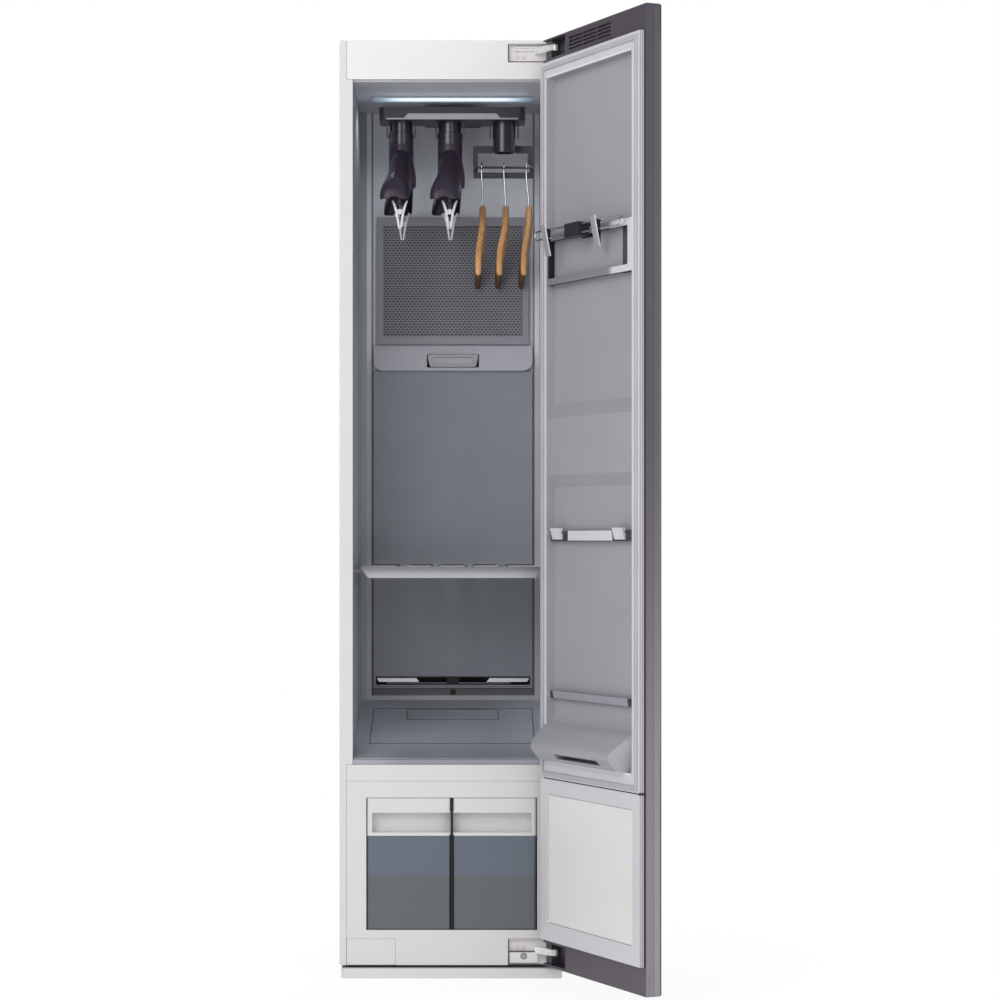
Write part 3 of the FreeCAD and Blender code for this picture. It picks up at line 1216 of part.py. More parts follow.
def door_lower_liner():
    """Flat white liner over the lower part of the door, opposite the tanks."""
    z0, z1 = LINER_Z[0], LINER_SPLIT_Z
    half, t = LINER_HALF, LOW_LINER_WALL
    plate = box(-half, half, DOOR_Y[1], LINER_FACE_Y, z0, z1)
    x0, x1, low, high = LOW_PANEL
    sunk = box(x0, x1, LINER_FACE_Y - LOW_PANEL_DEPTH, LINER_FACE_Y + OVER, low, high)
    under = box(-half + t, half - t, DOOR_Y[1] - OVER, LINER_FACE_Y - LOW_LINER_FACE, z0 + t, z1 - t)
    node("door_lower_liner", swung(plate.cut(rounded(sunk, LOW_PANEL_CORNER_R, "y")).cut(under)))


SEAL = (-205.0, 205.0, 404.0, 1790.0)
SEAL_WIDTH = 8.5


def door_gasket():
    """Soft seal ring around the chamber's edge."""
    x0, x1, z0, z1 = SEAL
    w = SEAL_WIDTH
    node("door_gasket", swung(frame_y(SEAL, (x0 + w, x1 - w, z0 + w, z1 - w), LINER_FACE_Y, -GAP)))


ACCESSORY_Z = (1360.0, 1458.5)
ACCESSORY_Y = (-12.0, -3.5)
ACCESSORY_WINDOW = (-164.5, 177.0, 1373.0, 1445.0)
ACCESSORY_CORNER_R = 3.0
ACCESSORY_SIDE = 4.0
ACCESSORY_PANEL = 1.8


def accessory_frame():
    """Frame across the recess that the clip hanger hooks on, with a panel behind it."""
    half = RECESS_HALF - GAP
    z0, z1 = ACCESSORY_Z
    floor = RECESS_FLOOR_Y + GAP
    back, front = ACCESSORY_Y
    x0, x1, foot, head = ACCESSORY_WINDOW
    window = rounded(box(x0, x1, back - OVER, front + OVER, foot, head), ACCESSORY_CORNER_R, "y")
    ring = box(-half, half, back, front, z0, z1).cut(window)
    cheek = box(half - ACCESSORY_SIDE, half, floor, ACCESSORY_Y[0] + OVER, z0, z1)
    panel = box(-half, half, floor, floor + ACCESSORY_PANEL, z0, z1)
    node("accessory_frame", swung(fused([ring, panel, cheek, mirrored(cheek)])))


CLIP_X = (126.0, -68.0)
ROD_FAR_Y = 6.0
ROD_NEAR_Y = 25.0
CLIP_ROD_X = (-162.0, 175.0)
CLIP_ROD_Z = (1446.0, 1462.0)
CLIP_ROD_R = 2.0
CLIP_HALF = 7.5
CLIP_BODY = (6.0, -5.0, 6.5, 1442.0, 1466.0)    # half width, back, front, foot, head
# outlines across the rods: distance in front of them, and height
CLIP_PLATE = ((8.0, 1472.0), (10.8, 1472.0), (5.4, 1442.0), (-1.2, 1412.0), (-4.0, 1412.0), (2.6, 1442.0))
CLIP_BACK_LEG = ((-5.0, 1444.0), (-2.0, 1444.0), (-1.6, 1422.0), (-5.0, 1417.0))
BLOCK = (-5.5, 54.4, -2.9, 21.0, 1440.0, 1467.0)
TONGUE_X = (5.0, 45.0)
HOOK_Y = (-16.5, -12.6)             # tongue behind the accessory frame's head
HOOK_OVER = (0.4, 7.0)              # clearance over the frame, and top of the bridge
TONGUE_DROP = 19.0


def rod_loop():
    """Two parallel rods joined by a round bend at each end."""
    x0, x1 = CLIP_ROD_X
    z0, z1 = CLIP_ROD_Z
    bend = (z1 - z0) / 2
    a0 = Vec(x0 + bend, ROD_FAR_Y, z0)
    a1 = Vec(x0 + bend, ROD_FAR_Y, z1)
    b0 = Vec(x1 - bend, ROD_NEAR_Y, z0)
    b1 = Vec(x1 - bend, ROD_NEAR_Y, z1)
    along = (b0 - a0).normalize()
    middle_b = b0 + along * bend + Vec(0, 0, bend)
    middle_a = a0 - along * bend + Vec(0, 0, bend)
    path = Part.Wire([Part.makeLine(a0, b0), Part.Arc(b0, middle_b, b1).toShape(), Part.makeLine(b1, a1),
                      Part.Arc(a1, middle_a, a0).toShape()])
    ring = Part.Wire([Part.makeCircle(CLIP_ROD_R, a0, along)])
    return path.makePipeShell([ring], True, False)


def rod_y(x):
    """Closed Y of the clip hanger's rods at a place along the door."""
    share = (x - CLIP_ROD_X[0]) / (CLIP_ROD_X[1] - CLIP_ROD_X[0])
    return ROD_FAR_Y + (ROD_NEAR_Y - ROD_FAR_Y) * share


def clip_hanger():
    """Lift-off trouser hanger: rod loop, a block that hooks over the frame, and two plate clips."""
    top = ACCESSORY_Z[1]
    room, bridge_top = HOOK_OVER
    bridge = box(*TONGUE_X, HOOK_Y[0], 0, top + room, top + bridge_top)
    tongue = box(*TONGUE_X, *HOOK_Y, top - TONGUE_DROP, top + bridge_top)
    parts = [rod_loop(), box(*BLOCK), bridge, tongue]
    for x in CLIP_X:
        y = rod_y(x)
        half, back, front, foot, head = CLIP_BODY
        parts.append(box(x - half, x + half, y + back, y + front, foot, head))
        for outline in (CLIP_PLATE, CLIP_BACK_LEG):
            parts.append(prism_x([(y + reach, z) for reach, z in outline], x - CLIP_HALF, x + CLIP_HALF))
    node("clip_hanger", swung(fused(parts)))


# ---------------------------------------------------------------- lift-out and sliding pieces
PORT_R = 16.0
PORT_Y = 110.0
TANK_X = (2.4, BAY_HALF - 1.0)
TANK_Y = (1.0, 1.0 + TANK_DEPTH)
TANK_Z = (BAY_Z[0] + 0.6, BAY_Z[1] - 1.0)
TANK_CORNER_R = 6.0
TANK_INNER_R = 3.5
GRIP_Y = 26.0                       # how deep the finger recess goes
GRIP_Z = (286.5, 325.6)
GRIP_OUTER_X = BAY_HALF - 11.3      # its inner side is open, so that two tanks share one recess


def tank(side):
    """Translucent tank and the white cap that closes it, with a finger recess and a filling port."""
    x0, x1 = TANK_X
    y0, y1 = TANK_Y
    z0, z1 = TANK_Z
    t = TANK_WALL
    shell = rounded(box(x0, x1, y0, y1, z0, TANK_CAP_Z), TANK_CORNER_R, "z")
    inside = rounded(box(x0 + t, x1 - t, y0 + t, y1 - t, z0 + t, z1 - t), TANK_INNER_R, "z")
    cap = rounded(box(x0, x1, y0, y1, TANK_CAP_Z, z1), TANK_CORNER_R, "z")
    low, roof = GRIP_Z
    pocket = box(x0, GRIP_OUTER_X + t, y0 + t / 2, y0 + GRIP_Y + t, low - t, roof + t)
    grip = box(x0 - OVER, GRIP_OUTER_X, y0 - OVER, y0 + GRIP_Y, low, roof)
    port = rod((x0 + x1) / 2, PORT_Y, z1 - t - OVER, t + 2 * OVER, PORT_R)
    cap = fused([cap.cut(inside), pocket]).cut(grip).cut(port)
    shapes = [shell.cut(inside), cap]
    return shapes if side > 0 else [mirrored(s) for s in shapes]


def tanks():
    """Clean water on the left, drained water on the right."""
    node("supply_tank", *tank(-1))
    node("drain_tank", *tank(1))


SLOT_X = (-105.0, -35.0, 35.0, 105.0)
SLOT_HALF = 9.5
SLOT_ENDS = (10.0, 30.0)            # from the shelf's front and back
SLOT_CORNER_R = 6.0
SHELF_HALF = 182.5
SHELF_Y = (60.0, 400.0)
SHELF_THICK = 3.6
LIP_THICK = 2.0
LIP_FOOT = (167.0, 788.0)           # half width and height of the lip's foot


def shelf():
    """Sheet shelf with four long slots and a folded front lip that narrows downwards."""
    y0, y1 = SHELF_Y
    under = SHELF_TOP_Z - SHELF_THICK
    plate = box(-SHELF_HALF, SHELF_HALF, y0, y1, under, SHELF_TOP_Z)
    for x in SLOT_X:
        slot = box(x - SLOT_HALF, x + SLOT_HALF, y0 + SLOT_ENDS[0], y1 - SLOT_ENDS[1], under - OVER,
                   SHELF_TOP_Z + OVER)
        plate = plate.cut(rounded(slot, SLOT_CORNER_R, "z"))
    half, foot = LIP_FOOT
    lip = prism_y([(-SHELF_HALF, SHELF_TOP_Z), (SHELF_HALF, SHELF_TOP_Z), (SHELF_HALF, under), (half, foot),
                   (-half, foot), (-SHELF_HALF, under)], y0, y0 + LIP_THICK)
    node("shelf", fused([plate, lip]))


SCREEN = (-147.0, 147.0, 1297.0, 1530.0)
SCREEN_Y = (2.0, 5.0)               # from the filter's face
BAR_ROWS = 12
BAR_COLUMNS = 9
ROW_HALF = 3.5
COLUMN_HALF = 3.0


def air_filter():
    """Framed filter with a barred screen over its opening."""
    z0, z1 = FILTER_Z
    left, right, foot, head = SCREEN
    y0, y1 = FILTER_Y + SCREEN_Y[0], FILTER_Y + SCREEN_Y[1]
    parts = [frame_y((-FILTER_HALF, FILTER_HALF, z0 + GAP, z1), SCREEN, FILTER_Y, COVER_Y[1])]
    for k in range(1, BAR_ROWS):
        z = foot + (head - foot) * k / BAR_ROWS
        parts.append(box(left - OVER, right + OVER, y0, y1, z - ROW_HALF, z + ROW_HALF))
    for k in range(1, BAR_COLUMNS):
        x = left + (right - left) * k / BAR_COLUMNS
        parts.append(box(x - COLUMN_HALF, x + COLUMN_HALF, y0, y1, foot - OVER, head + OVER))
    node("air_filter", fused(parts))


CARTRIDGE_DEPTH = 110.0
CARTRIDGE_Y = (425.0, 430.5, 433.0)     # face, floor of the handle's recess, back of the handle
CARTRIDGE_FOOT_HALF = 49.0
HANDLE_RIM = (10.5, 5.0)            # beside and over the recess
CASSETTE_HALF = 52.0
CASSETTE_IN = 1.5
VENT_COUNT = 6
VENT_START = 452.0
VENT_PITCH = 14.0
VENT_LENGTH = 8.0
VENT_HALF = 46.0


def cartridge():
    """Deodorising cartridge: a hollow handle on a long slotted cassette."""
    z0, z1 = CARTRIDGE_Z
    face, floor, back = CARTRIDGE_Y
    beside, over = HANDLE_RIM
    half = CARTRIDGE_HALF
    foot = CARTRIDGE_FOOT_HALF
    handle = prism_y([(-half, z1), (half, z1), (foot, z0), (-foot, z0)], face, back)
    handle = handle.cut(box(-half + beside, half - beside, face - OVER, floor, z0 + over, z1 - over))
    start = back - OVER
    body = box(-CASSETTE_HALF, CASSETTE_HALF, start, start + CARTRIDGE_DEPTH, z0 + CASSETTE_IN,
               z1 - CASSETTE_IN)
    for k in range(VENT_COUNT):
        y = VENT_START + VENT_PITCH * k
        body = body.cut(box(-VENT_HALF, VENT_HALF, y, y + VENT_LENGTH, z0, z1))
    node("cartridge", fused([handle, body]))


# ---------------------------------------------------------------- hangers
HUB_R = 25.2
HUB_BORE_R = 23.5
HUB_Z = (1600.0, 1697.0)
HUB_BORE_FOOT_Z = 1640.0
SHELL_WALL = 2.6
ARCH_RISE = 0.85                    # of an arch's half width
ARCH_SIDE_MIN = 2.0
# distance from the neck along Y, shift to the left, crest, hem, half width
SHOULDER = ((0, 0, 1668, 1590, 24.5), (40, 0.6, 1651, 1586, 24.5), (62, 1.6, 1637, 1583.5, 25.0),
            (86, 3.6, 1619, 1569, 26.0), (112, 7, 1603, 1557, 28.0), (134, 10, 1588, 1547, 29.5),
            (150, 10.5, 1566, 1545, 22.0))
BAR_Z = 1543.0
BAR_R = 3.0
BAR_HALF = 138.0
BAR_POST_Y = 132.0                  # each side of the neck
BAR_POST_TOP_Z = 1586.4
STRAP_HALF = 17.0                   # half length of the strap hook
# strap hook on the right of the neck: distance from the nozzle's axis, and height
STRAP = ((20.0, 1652.0), (24.5, 1640.0), (28.5, 1622.0), (30.5, 1604.0), (30.5, 1590.0), (27.0, 1584.5),
         (19.5, 1585.0), (20.0, 1590.0), (23.5, 1596.0), (20.0, 1606.0))
GARMENT_CLIP_Y = (108.0, 332.0)
CLIP_PIVOT_Z = 1524.0
CLIP_RING = (6.0, 3.1, 3.0)         # outer and inner radius and half length of the ring on the bar
CLIP_STEM_HALF = 1.5
CLIP_JOINT_R = 5.0
CLIP_LEG_HALF = 2.0
CLIP_LEG = ((13.0, 1540.0), (10.0, 1541.0), (4.0, 1526.0), (0.3, 1492.0), (3.5, 1490.0), (8.0, 1524.0))


def arch(x, y, crest, hem, half):
    """Closed wire of an upright section with a round crest and a flat hem."""
    spring = max(crest - ARCH_RISE * half, hem + ARCH_SIDE_MIN)
    foot = [Vec(x - half, y, hem), Vec(x + half, y, hem)]
    shoulder = [Vec(x - half, y, spring), Vec(x + half, y, spring)]
    return Part.Wire([Part.makeLine(foot[0], shoulder[0]),
                      Part.Arc(shoulder[0], Vec(x, y, crest), shoulder[1]).toShape(),
                      Part.makeLine(shoulder[1], foot[1]), Part.makeLine(foot[1], foot[0])])


def both_ways(stations):
    """Stations from the rear end of a hanger to its front end, from those of one half."""
    return [(-along, *rest) for along, *rest in reversed(stations)] + list(stations[1:])


def shoulder_shell(x):
    """Outside and inside of a hanger's shoulder, each as a solid."""
    outer, inner = [], []
    for along, shift, crest, hem, half in both_ways(SHOULDER):
        end = SHELL_WALL if abs(along) == SHOULDER[-1][0] else 0
        inner_y = NOZZLE_Y + math.copysign(abs(along) - end, along)
        outer.append(arch(x - shift, NOZZLE_Y + along, crest, hem, half))
        inner.append(arch(x - shift, inner_y, crest - SHELL_WALL, hem - OVER, half - SHELL_WALL))
    return Part.makeLoft(outer, True, True), Part.makeLoft(inner, True, True)


def garment_clip(x, y):
    """Sprung clip on the trouser bar: a ring, a stem and two crossing legs."""
    outer, inner, reach = CLIP_RING
    half = CLIP_LEG_HALF
    stem = box(x - CLIP_STEM_HALF, x + CLIP_STEM_HALF, y - half, y + half, CLIP_PIVOT_Z, BAR_Z - inner - OVER)
    parts = [tube(x, y - reach, BAR_Z, 2 * reach, outer, inner, "y"), stem,
             rod(x, y - reach, CLIP_PIVOT_Z, 2 * reach, CLIP_JOINT_R, "y")]
    for side in (-1, 1):
        parts.append(prism_y([(x + side * dx, z) for dx, z in CLIP_LEG], y - half, y + half))
    return fused(parts)


def air_hanger(x):
    """Hollow shoulder shell on a neck that slips over a nozzle, its trouser bar and two clips."""
    shell, hollow = shoulder_shell(x)
    low, high = HUB_Z
    neck = rod(x, NOZZLE_Y, low, high - low, HUB_R)
    bore = rod(x, NOZZLE_Y, HUB_BORE_FOOT_Z, high - HUB_BORE_FOOT_Z + OVER, HUB_BORE_R)
    strap = prism_y([(x + dx, z) for dx, z in STRAP], NOZZLE_Y - STRAP_HALF, NOZZLE_Y + STRAP_HALF)
    body = fused([shell, neck, strap]).cut(hollow).cut(bore)
    parts = [body, rod(x, NOZZLE_Y - BAR_HALF, BAR_Z, 2 * BAR_HALF, BAR_R, "y")]
    for side in (-1, 1):
        parts.append(rod(x, NOZZLE_Y + side * BAR_POST_Y, BAR_Z, BAR_POST_TOP_Z - BAR_Z, BAR_R))
    return [fused(parts)] + [garment_clip(x, y) for y in GARMENT_CLIP_Y]


def air_hangers():
    """Air hangers on the left and middle nozzles."""
    node("air_hanger_left", *air_hanger(NOZZLE_X[0]))
    node("air_hanger_middle", *air_hanger(NOZZLE_X[1]))


WOOD_SHIFT = (2.3, 3.6, 5.2)        # how far each hanger's wood hangs to the right of its hook
WOOD_LEAN = (9.8, 14.5, 13.0)       # how far the tips of each hanger curve to the left
# distance from the hook along Y, share of the lean, height, half thickness, half height
WOOD_ARM = ((0, 0, 1535, 7.0, 18), (75, 0.1, 1502, 6.9, 18), (112, 0.5, 1464.5, 6.8, 17),
            (135, 0.88, 1438, 6.7, 16), (165, 1.0, 1405, 6.4, 14))
HOOK_WIRE_R = 1.9
HOOK_BEND = 9.9
HOOK_HALF_Y = 10.0                  # each side of the rod
HOOK_END_DROP = 18.0
HOOK_ROOM = 0.4                     # over the rod
HOOK_ROOT_Z = (1530.0, 1562.0)      # inside the wood, and where the wire starts to bend
HOOK_SIDE_Z = (1596.0, 1608.0)      # where it is in line with the rod, and where it has moved behind it


def oval(x, y, z, half_x, half_z):
    """Closed oval wire, taller than wide, in the plane of constant Y."""
    shape = Part.Ellipse(Vec(0, 0, 0), half_z, half_x).toShape()
    shape.rotate(Vec(0, 0, 0), Vec(1, 0, 0), 90)
    shape.rotate(Vec(0, 0, 0), Vec(0, 1, 0), 90)
    shape.translate(Vec(x, y, z))
    return Part.Wire([shape])


def wooden_hanger(x, shift, lean):
    """Contoured wooden arms on a bent wire hook; lean is how far the tips curve to the left."""
    wood_x = x + shift
    wood = Part.makeLoft([oval(wood_x - lean * share, ROD_Y + along, z, half_x, half_z)
                          for along, share, z, half_x, half_z in both_ways(WOOD_ARM)], True)
    top = ROD_Z + RACK_ROD_R + HOOK_ROOM + HOOK_WIRE_R
    behind, before = ROD_Y + HOOK_HALF_Y, ROD_Y - HOOK_HALF_Y
    root, bend = HOOK_ROOT_Z
    level, back = HOOK_SIDE_Z
    route = [(wood_x, ROD_Y, root), (wood_x, ROD_Y, bend), (x, ROD_Y, level), (x, behind, back),
             (x, behind, top), (x, before, top), (x, before, top - HOOK_END_DROP)]
    hook = bent_pipe(route, HOOK_WIRE_R, HOOK_BEND)
    return [wood.cut(hook), hook]


def wooden_hangers():
    """Three wooden hangers on the rack's rod."""
    for k, (x, shift, lean) in enumerate(zip(HOOK_X, WOOD_SHIFT, WOOD_LEAN)):
        node("wooden_hanger_" + str(k + 1), *wooden_hanger(x, shift, lean))


STRIP_HALF = (134.0, 98.0, 90.0)    # the dock's strip: its ends, and the foot and top of its raised middle
STRIP_RISE = (0.5, 3.5, 12.5)
STRIP_THICK = 1.6
VANE_X = (-161.0, -78.0, -90.0)
VANE_IN = 3.0                       # from the outlet's top and bottom
VANE_Y = (3.0, 6.0)                 # from the rear cover's face


def bright_trims():
    """Polished trims: the dock's front strip and the two outlet vanes."""
    y0 = DOCK_Y[0]
    low, side, top = (DOCK_Z[0] + rise for rise in STRIP_RISE)
    end, foot, head = STRIP_HALF
    strip = prism_y([(-end, low), (end, low), (end, side), (foot, side), (head, top), (-head, top),
                     (-foot, side), (-end, side)], y0 - STRIP_THICK, y0)
    z0, z1 = OUTLET_Z[0] + VANE_IN, OUTLET_Z[1] - VANE_IN
    outer, low_x, high_x = VANE_X
    vane = prism_y([(outer, z0), (low_x, z0), (high_x, z1), (outer, z1)], COVER_Y[0] + VANE_Y[0],
                   COVER_Y[0] + VANE_Y[1])
    node("bright_trims", strip, vane, mirrored(vane))


REAR_SCREW_X = 205.0
REAR_SCREW_Z = (75.0, 500.0, 925.0, 1350.0, 1815.0)
REAR_SCREW = (2.6, 4.5)             # height and radius of the head
DRIVE_HALF = (3.2, 0.6)
DRIVE_FLOOR = 1.4
TRAY_SCREW_X = (129.0, 141.0)
TRAY_SCREW_Z = (1819.0, 58.0)
TRAY_SCREW_Y = TRAY_Y[1] - TRAY_FLOOR - 2.8
TRAY_SCREW = (2.8, 4.0)


def screws():
    """Pan heads: rear panel and hinge trays."""
    face = REAR_Y[1]
    height, radius = REAR_SCREW
    long, short = DRIVE_HALF
    heads = []
    for x in (-REAR_SCREW_X, REAR_SCREW_X):
        for z in REAR_SCREW_Z:
            drive = box(x - long, x + long, face + DRIVE_FLOOR, face + height + OVER, z - short, z + short)
            heads.append(rod(x, face, z, height, radius, "y").cut(drive))
    height, radius = TRAY_SCREW
    for z in TRAY_SCREW_Z:
        for x in TRAY_SCREW_X:
            heads.append(rod(x, TRAY_SCREW_Y, z, height, radius, "y"))
    node("screws", *heads)


def build():
    """Make every node and write one STEP file for each."""
    for make in (plinth, levelling_feet, base_tray, side_panels, top_panel, rear_panel, power_inlet,
                 top_fascia, trim_strip, lower_fascia, service_cover, chamber_walls, chamber_ceiling,
                 led_light, chamber_back, chamber_floor, floor_cover, back_cover, air_outlet,
                 bright_trims, air_dock, nozzles, hanger_rack, blower, circulation_fan, fan_motors,
                 air_duct, compressor, refrigerant_circuit, steam_generator, control_board, tank_bay,
                 insulation, hinge_brackets, hinge_cups, door_panel, door_frame, door_trims,
                 door_insulation, door_liner, press_bars, door_lower_liner, door_gasket,
                 accessory_frame, clip_hanger, tanks, shelf, air_filter, cartridge, air_hangers,
                 wooden_hangers, screws):
        make()
    os.makedirs("parts", exist_ok=True)
    for name, shape in ALL.items():
        shape.exportStep("parts/" + name + ".step")
    print(len(ALL), "nodes")


build()
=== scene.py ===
"""Finishes and details of a clothes care steam cabinet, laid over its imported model.

The frame is X to the right, Y into the depth and Z up, with the origin on the floor under the middle of
the cabinet's front. Sizes in this file are millimetres unless a name says otherwise; meshes are made in
millimetres and brought to metres when a piece is kept.
"""
import math

import bmesh
import bpy
from bpy.props import FloatProperty, FloatVectorProperty, PointerProperty
from mathutils import Matrix, Vector


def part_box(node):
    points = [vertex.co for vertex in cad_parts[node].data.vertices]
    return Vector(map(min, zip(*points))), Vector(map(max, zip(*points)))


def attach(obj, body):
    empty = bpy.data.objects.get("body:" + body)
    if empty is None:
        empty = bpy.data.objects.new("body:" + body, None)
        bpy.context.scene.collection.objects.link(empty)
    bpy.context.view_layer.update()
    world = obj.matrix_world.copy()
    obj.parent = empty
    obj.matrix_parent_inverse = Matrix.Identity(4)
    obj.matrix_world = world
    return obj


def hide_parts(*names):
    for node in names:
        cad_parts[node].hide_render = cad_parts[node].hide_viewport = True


bl_info = {
    "name": "Steam Cabinet Maker",
    "version": (1, 0, 0),
    "blender": (4, 5, 0),
    "location": "View3D > Sidebar > Steam Cabinet",
    "description": "Builds the finishes and details of a clothes care steam cabinet",
    "category": "Object",
}

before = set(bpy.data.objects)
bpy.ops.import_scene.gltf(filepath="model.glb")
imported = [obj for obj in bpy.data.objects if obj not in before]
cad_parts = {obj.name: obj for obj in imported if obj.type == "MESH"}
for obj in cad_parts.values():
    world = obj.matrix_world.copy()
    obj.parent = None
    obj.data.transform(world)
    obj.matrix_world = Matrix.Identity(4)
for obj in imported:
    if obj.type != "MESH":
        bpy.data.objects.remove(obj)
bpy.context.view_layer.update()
MM = 0.001


def linear(hex_colour):
    """Linear RGB of an sRGB colour written as #RRGGBB."""
    parts = [int(hex_colour[i:i + 2], 16) / 255 for i in (1, 3, 5)]
    return [c / 12.92 if c <= 0.04045 else ((c + 0.055) / 1.055) ** 2.4 for c in parts]


def span(node):
    """Lowest and highest corner of a CAD node, in millimetres."""
    low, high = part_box(node)
    return low / MM, high / MM


# ------------------------------------------------------------------------------ sizes and colours
class CabinetSizes(bpy.types.PropertyGroup):
    """Sizes of the finish: edge rounding, meshes and patterns."""

    panel_edge: FloatProperty(
        name="Panel edge", description="Rounding on the edges of panels and fascias",
        default=0.0012, min=0.0002, max=0.004, unit="LENGTH")
    liner_edge: FloatProperty(
        name="Liner edge", description="Rounding on the edges of the door and chamber liners",
        default=0.0022, min=0.0005, max=0.006, unit="LENGTH")
    small_edge: FloatProperty(
        name="Small edge", description="Rounding on the edges of small fittings",
        default=0.0006, min=0.0001, max=0.002, unit="LENGTH")
    screen_pitch: FloatProperty(
        name="Screen pitch", description="Distance between holes along a row of the filter screen",
        default=0.0080, min=0.004, max=0.02, unit="LENGTH")
    screen_row: FloatProperty(
        name="Screen row", description="Distance between rows of holes in the filter screen",
        default=0.0054, min=0.003, max=0.02, unit="LENGTH")


class CabinetColours(bpy.types.PropertyGroup):
    """Main colours of the cabinet, linear RGB."""

    enamel: FloatVectorProperty(
        name="Enamel", description="Powder coat of the side panels", subtype="COLOR", size=3,
        default=linear("#D6D4D2"), min=0, max=1)
    fascia: FloatVectorProperty(
        name="Fascia", description="Moulded white plastic of the front", subtype="COLOR", size=3,
        default=linear("#E3E1E1"), min=0, max=1)
    chamber: FloatVectorProperty(
        name="Chamber", description="Grey plastic of the chamber walls", subtype="COLOR", size=3,
        default=linear("#B9BCC4"), min=0, max=1)
    door_liner: FloatVectorProperty(
        name="Door liner", description="Grey plastic of the door liner", subtype="COLOR", size=3,
        default=linear("#A3A4A9"), min=0, max=1)
    door_glass: FloatVectorProperty(
        name="Door glass", description="Dark coated back of the door's outer glass", subtype="COLOR", size=3,
        default=linear("#4B4550"), min=0, max=1)
    tank: FloatVectorProperty(
        name="Tank", description="Smoke-blue tint of the tanks", subtype="COLOR", size=3,
        default=linear("#656E7C"), min=0, max=1)
    hanger: FloatVectorProperty(
        name="Air hanger", description="Purple-black plastic of the air hangers", subtype="COLOR", size=3,
        default=linear("#2B2730"), min=0, max=1)
    wood: FloatVectorProperty(
        name="Wood", description="Oiled beech of the wooden hangers", subtype="COLOR", size=3,
        default=linear("#D6A06A"), min=0, max=1)


def sizes():
    """The scene's size settings."""
    return bpy.context.scene.cabinet_sizes


def colours():
    """The scene's colour settings."""
    return bpy.context.scene.cabinet_colours


# ------------------------------------------------------------------------------ mesh helpers
SHARP_DEG = 26.0                    # edges that turn by more than this are rounded
CRISP_DEG = 32.0                    # and edges that still turn by more than this are shaded crisp
FOLD_DEG = 128.0                    # a turn that only a rounding too wide for its wall can give
SHARES = (1.0, 0.7, 0.45, 0.3, 0.15)            # of a rounding's width, tried from the widest
MERGE_MM = 0.004                    # corners of a CAD mesh that are closer than this are one
FLAT_DEG = 0.6                      # faces of a CAD mesh that turn by less than this are one


def block(bm, low, high):
    """Adds a box between two corners."""
    verts = bmesh.ops.create_cube(bm, size=1.0)["verts"]
    low, high = Vector(low), Vector(high)
    bmesh.ops.scale(bm, vec=high - low, verts=verts)
    bmesh.ops.translate(bm, vec=(low + high) / 2, verts=verts)


def turn_to(axis):
    """Rotation that takes +Z to an axis."""
    return Vector((0, 0, 1)).rotation_difference(Vector(axis)).to_matrix().to_4x4()


def drum(bm, start, end, radius, sides=32):
    """Adds a round bar between two points."""
    start, end = Vector(start), Vector(end)
    axis = end - start
    place = Matrix.Translation((start + end) / 2) @ turn_to(axis.normalized())
    bmesh.ops.create_cone(bm, cap_ends=True, segments=sides, radius1=radius, radius2=radius,
                          depth=axis.length, matrix=place)


def lathe(bm, profile, centre, axis=(0, 0, 1), steps=48):
    """Spins a closed (radius, height) outline round an axis through a centre."""
    place = Matrix.Translation(Vector(centre)) @ turn_to(axis)
    verts = [bm.verts.new(place @ Vector((r, 0, h))) for r, h in profile]
    edges = [bm.edges.new((a, b)) for a, b in zip(verts, verts[1:] + verts[:1])]
    bmesh.ops.spin(bm, geom=verts + edges, cent=centre, axis=Vector(axis), angle=math.tau, steps=steps,
                   use_merge=True, use_duplicate=False)


def drawn(bm, outline, along, far):
    """Adds a closed outline of 3D points, drawn out by a distance along an axis."""
    verts = [bm.verts.new(Vector(p)) for p in outline]
    face = bm.faces.new(verts)
    more = bmesh.ops.extrude_face_region(bm, geom=[face], use_keep_orig=True)
    moved = [v for v in more["geom"] if isinstance(v, bmesh.types.BMVert)]
    bmesh.ops.translate(bm, vec=Vector(along) * far, verts=moved)
    bmesh.ops.recalc_face_normals(bm, faces=list({f for v in verts + moved for f in v.link_faces}))


def rounded_corners(points, radius, steps=5):
    """Closed 2D outline with each corner replaced by an arc-like curve of a radius."""
    outline = []
    for before, here, after in zip(points[-1:] + points[:-1], points, points[1:] + points[:1]):
        here = Vector(here)
        first = here + (Vector(before) - here).normalized() * radius
        last = here + (Vector(after) - here).normalized() * radius
        for k in range(steps + 1):
            t = k / steps
            outline.append(first * (1 - t) ** 2 + here * 2 * t * (1 - t) + last * t ** 2)
    return outline


def oblong(x0, x1, z0, z1):
    """Corners of a rectangle, anticlockwise."""
    return [(x0, z0), (x1, z0), (x1, z1), (x0, z1)]


def ring_y(bm, outer, inner, y0, y1):
    """Adds a ring between two (x, z) outlines that have as many points each."""
    loops = []
    for outline in (outer, inner):
        corners = [bm.verts.new((x, y0, z)) for x, z in outline]
        loops += [bm.edges.new(pair) for pair in zip(corners, corners[1:] + corners[:1])]
    faces = bmesh.ops.bridge_loops(bm, edges=loops)["faces"]
    more = bmesh.ops.extrude_face_region(bm, geom=faces, use_keep_orig=True)
    moved = [v for v in more["geom"] if isinstance(v, bmesh.types.BMVert)]
    bmesh.ops.translate(bm, vec=(0, y1 - y0, 0), verts=moved)


def soften(bm, width, segments=2):
    """Rounds the sharp edges of a mesh as widely as its walls allow."""
    bm.edges.index_update()
    sharp = [e.index for e in bm.edges if turns_by(e, SHARP_DEG)]
    before = folds(bm)
    found = []
    for share in SHARES:
        trial = bm.copy()
        rounded(trial, sharp, width * share, segments)
        found.append((folds(trial), -share))
        trial.free()
        if found[-1][0] <= before:
            break
    rounded(bm, sharp, width * -min(found)[1], segments)


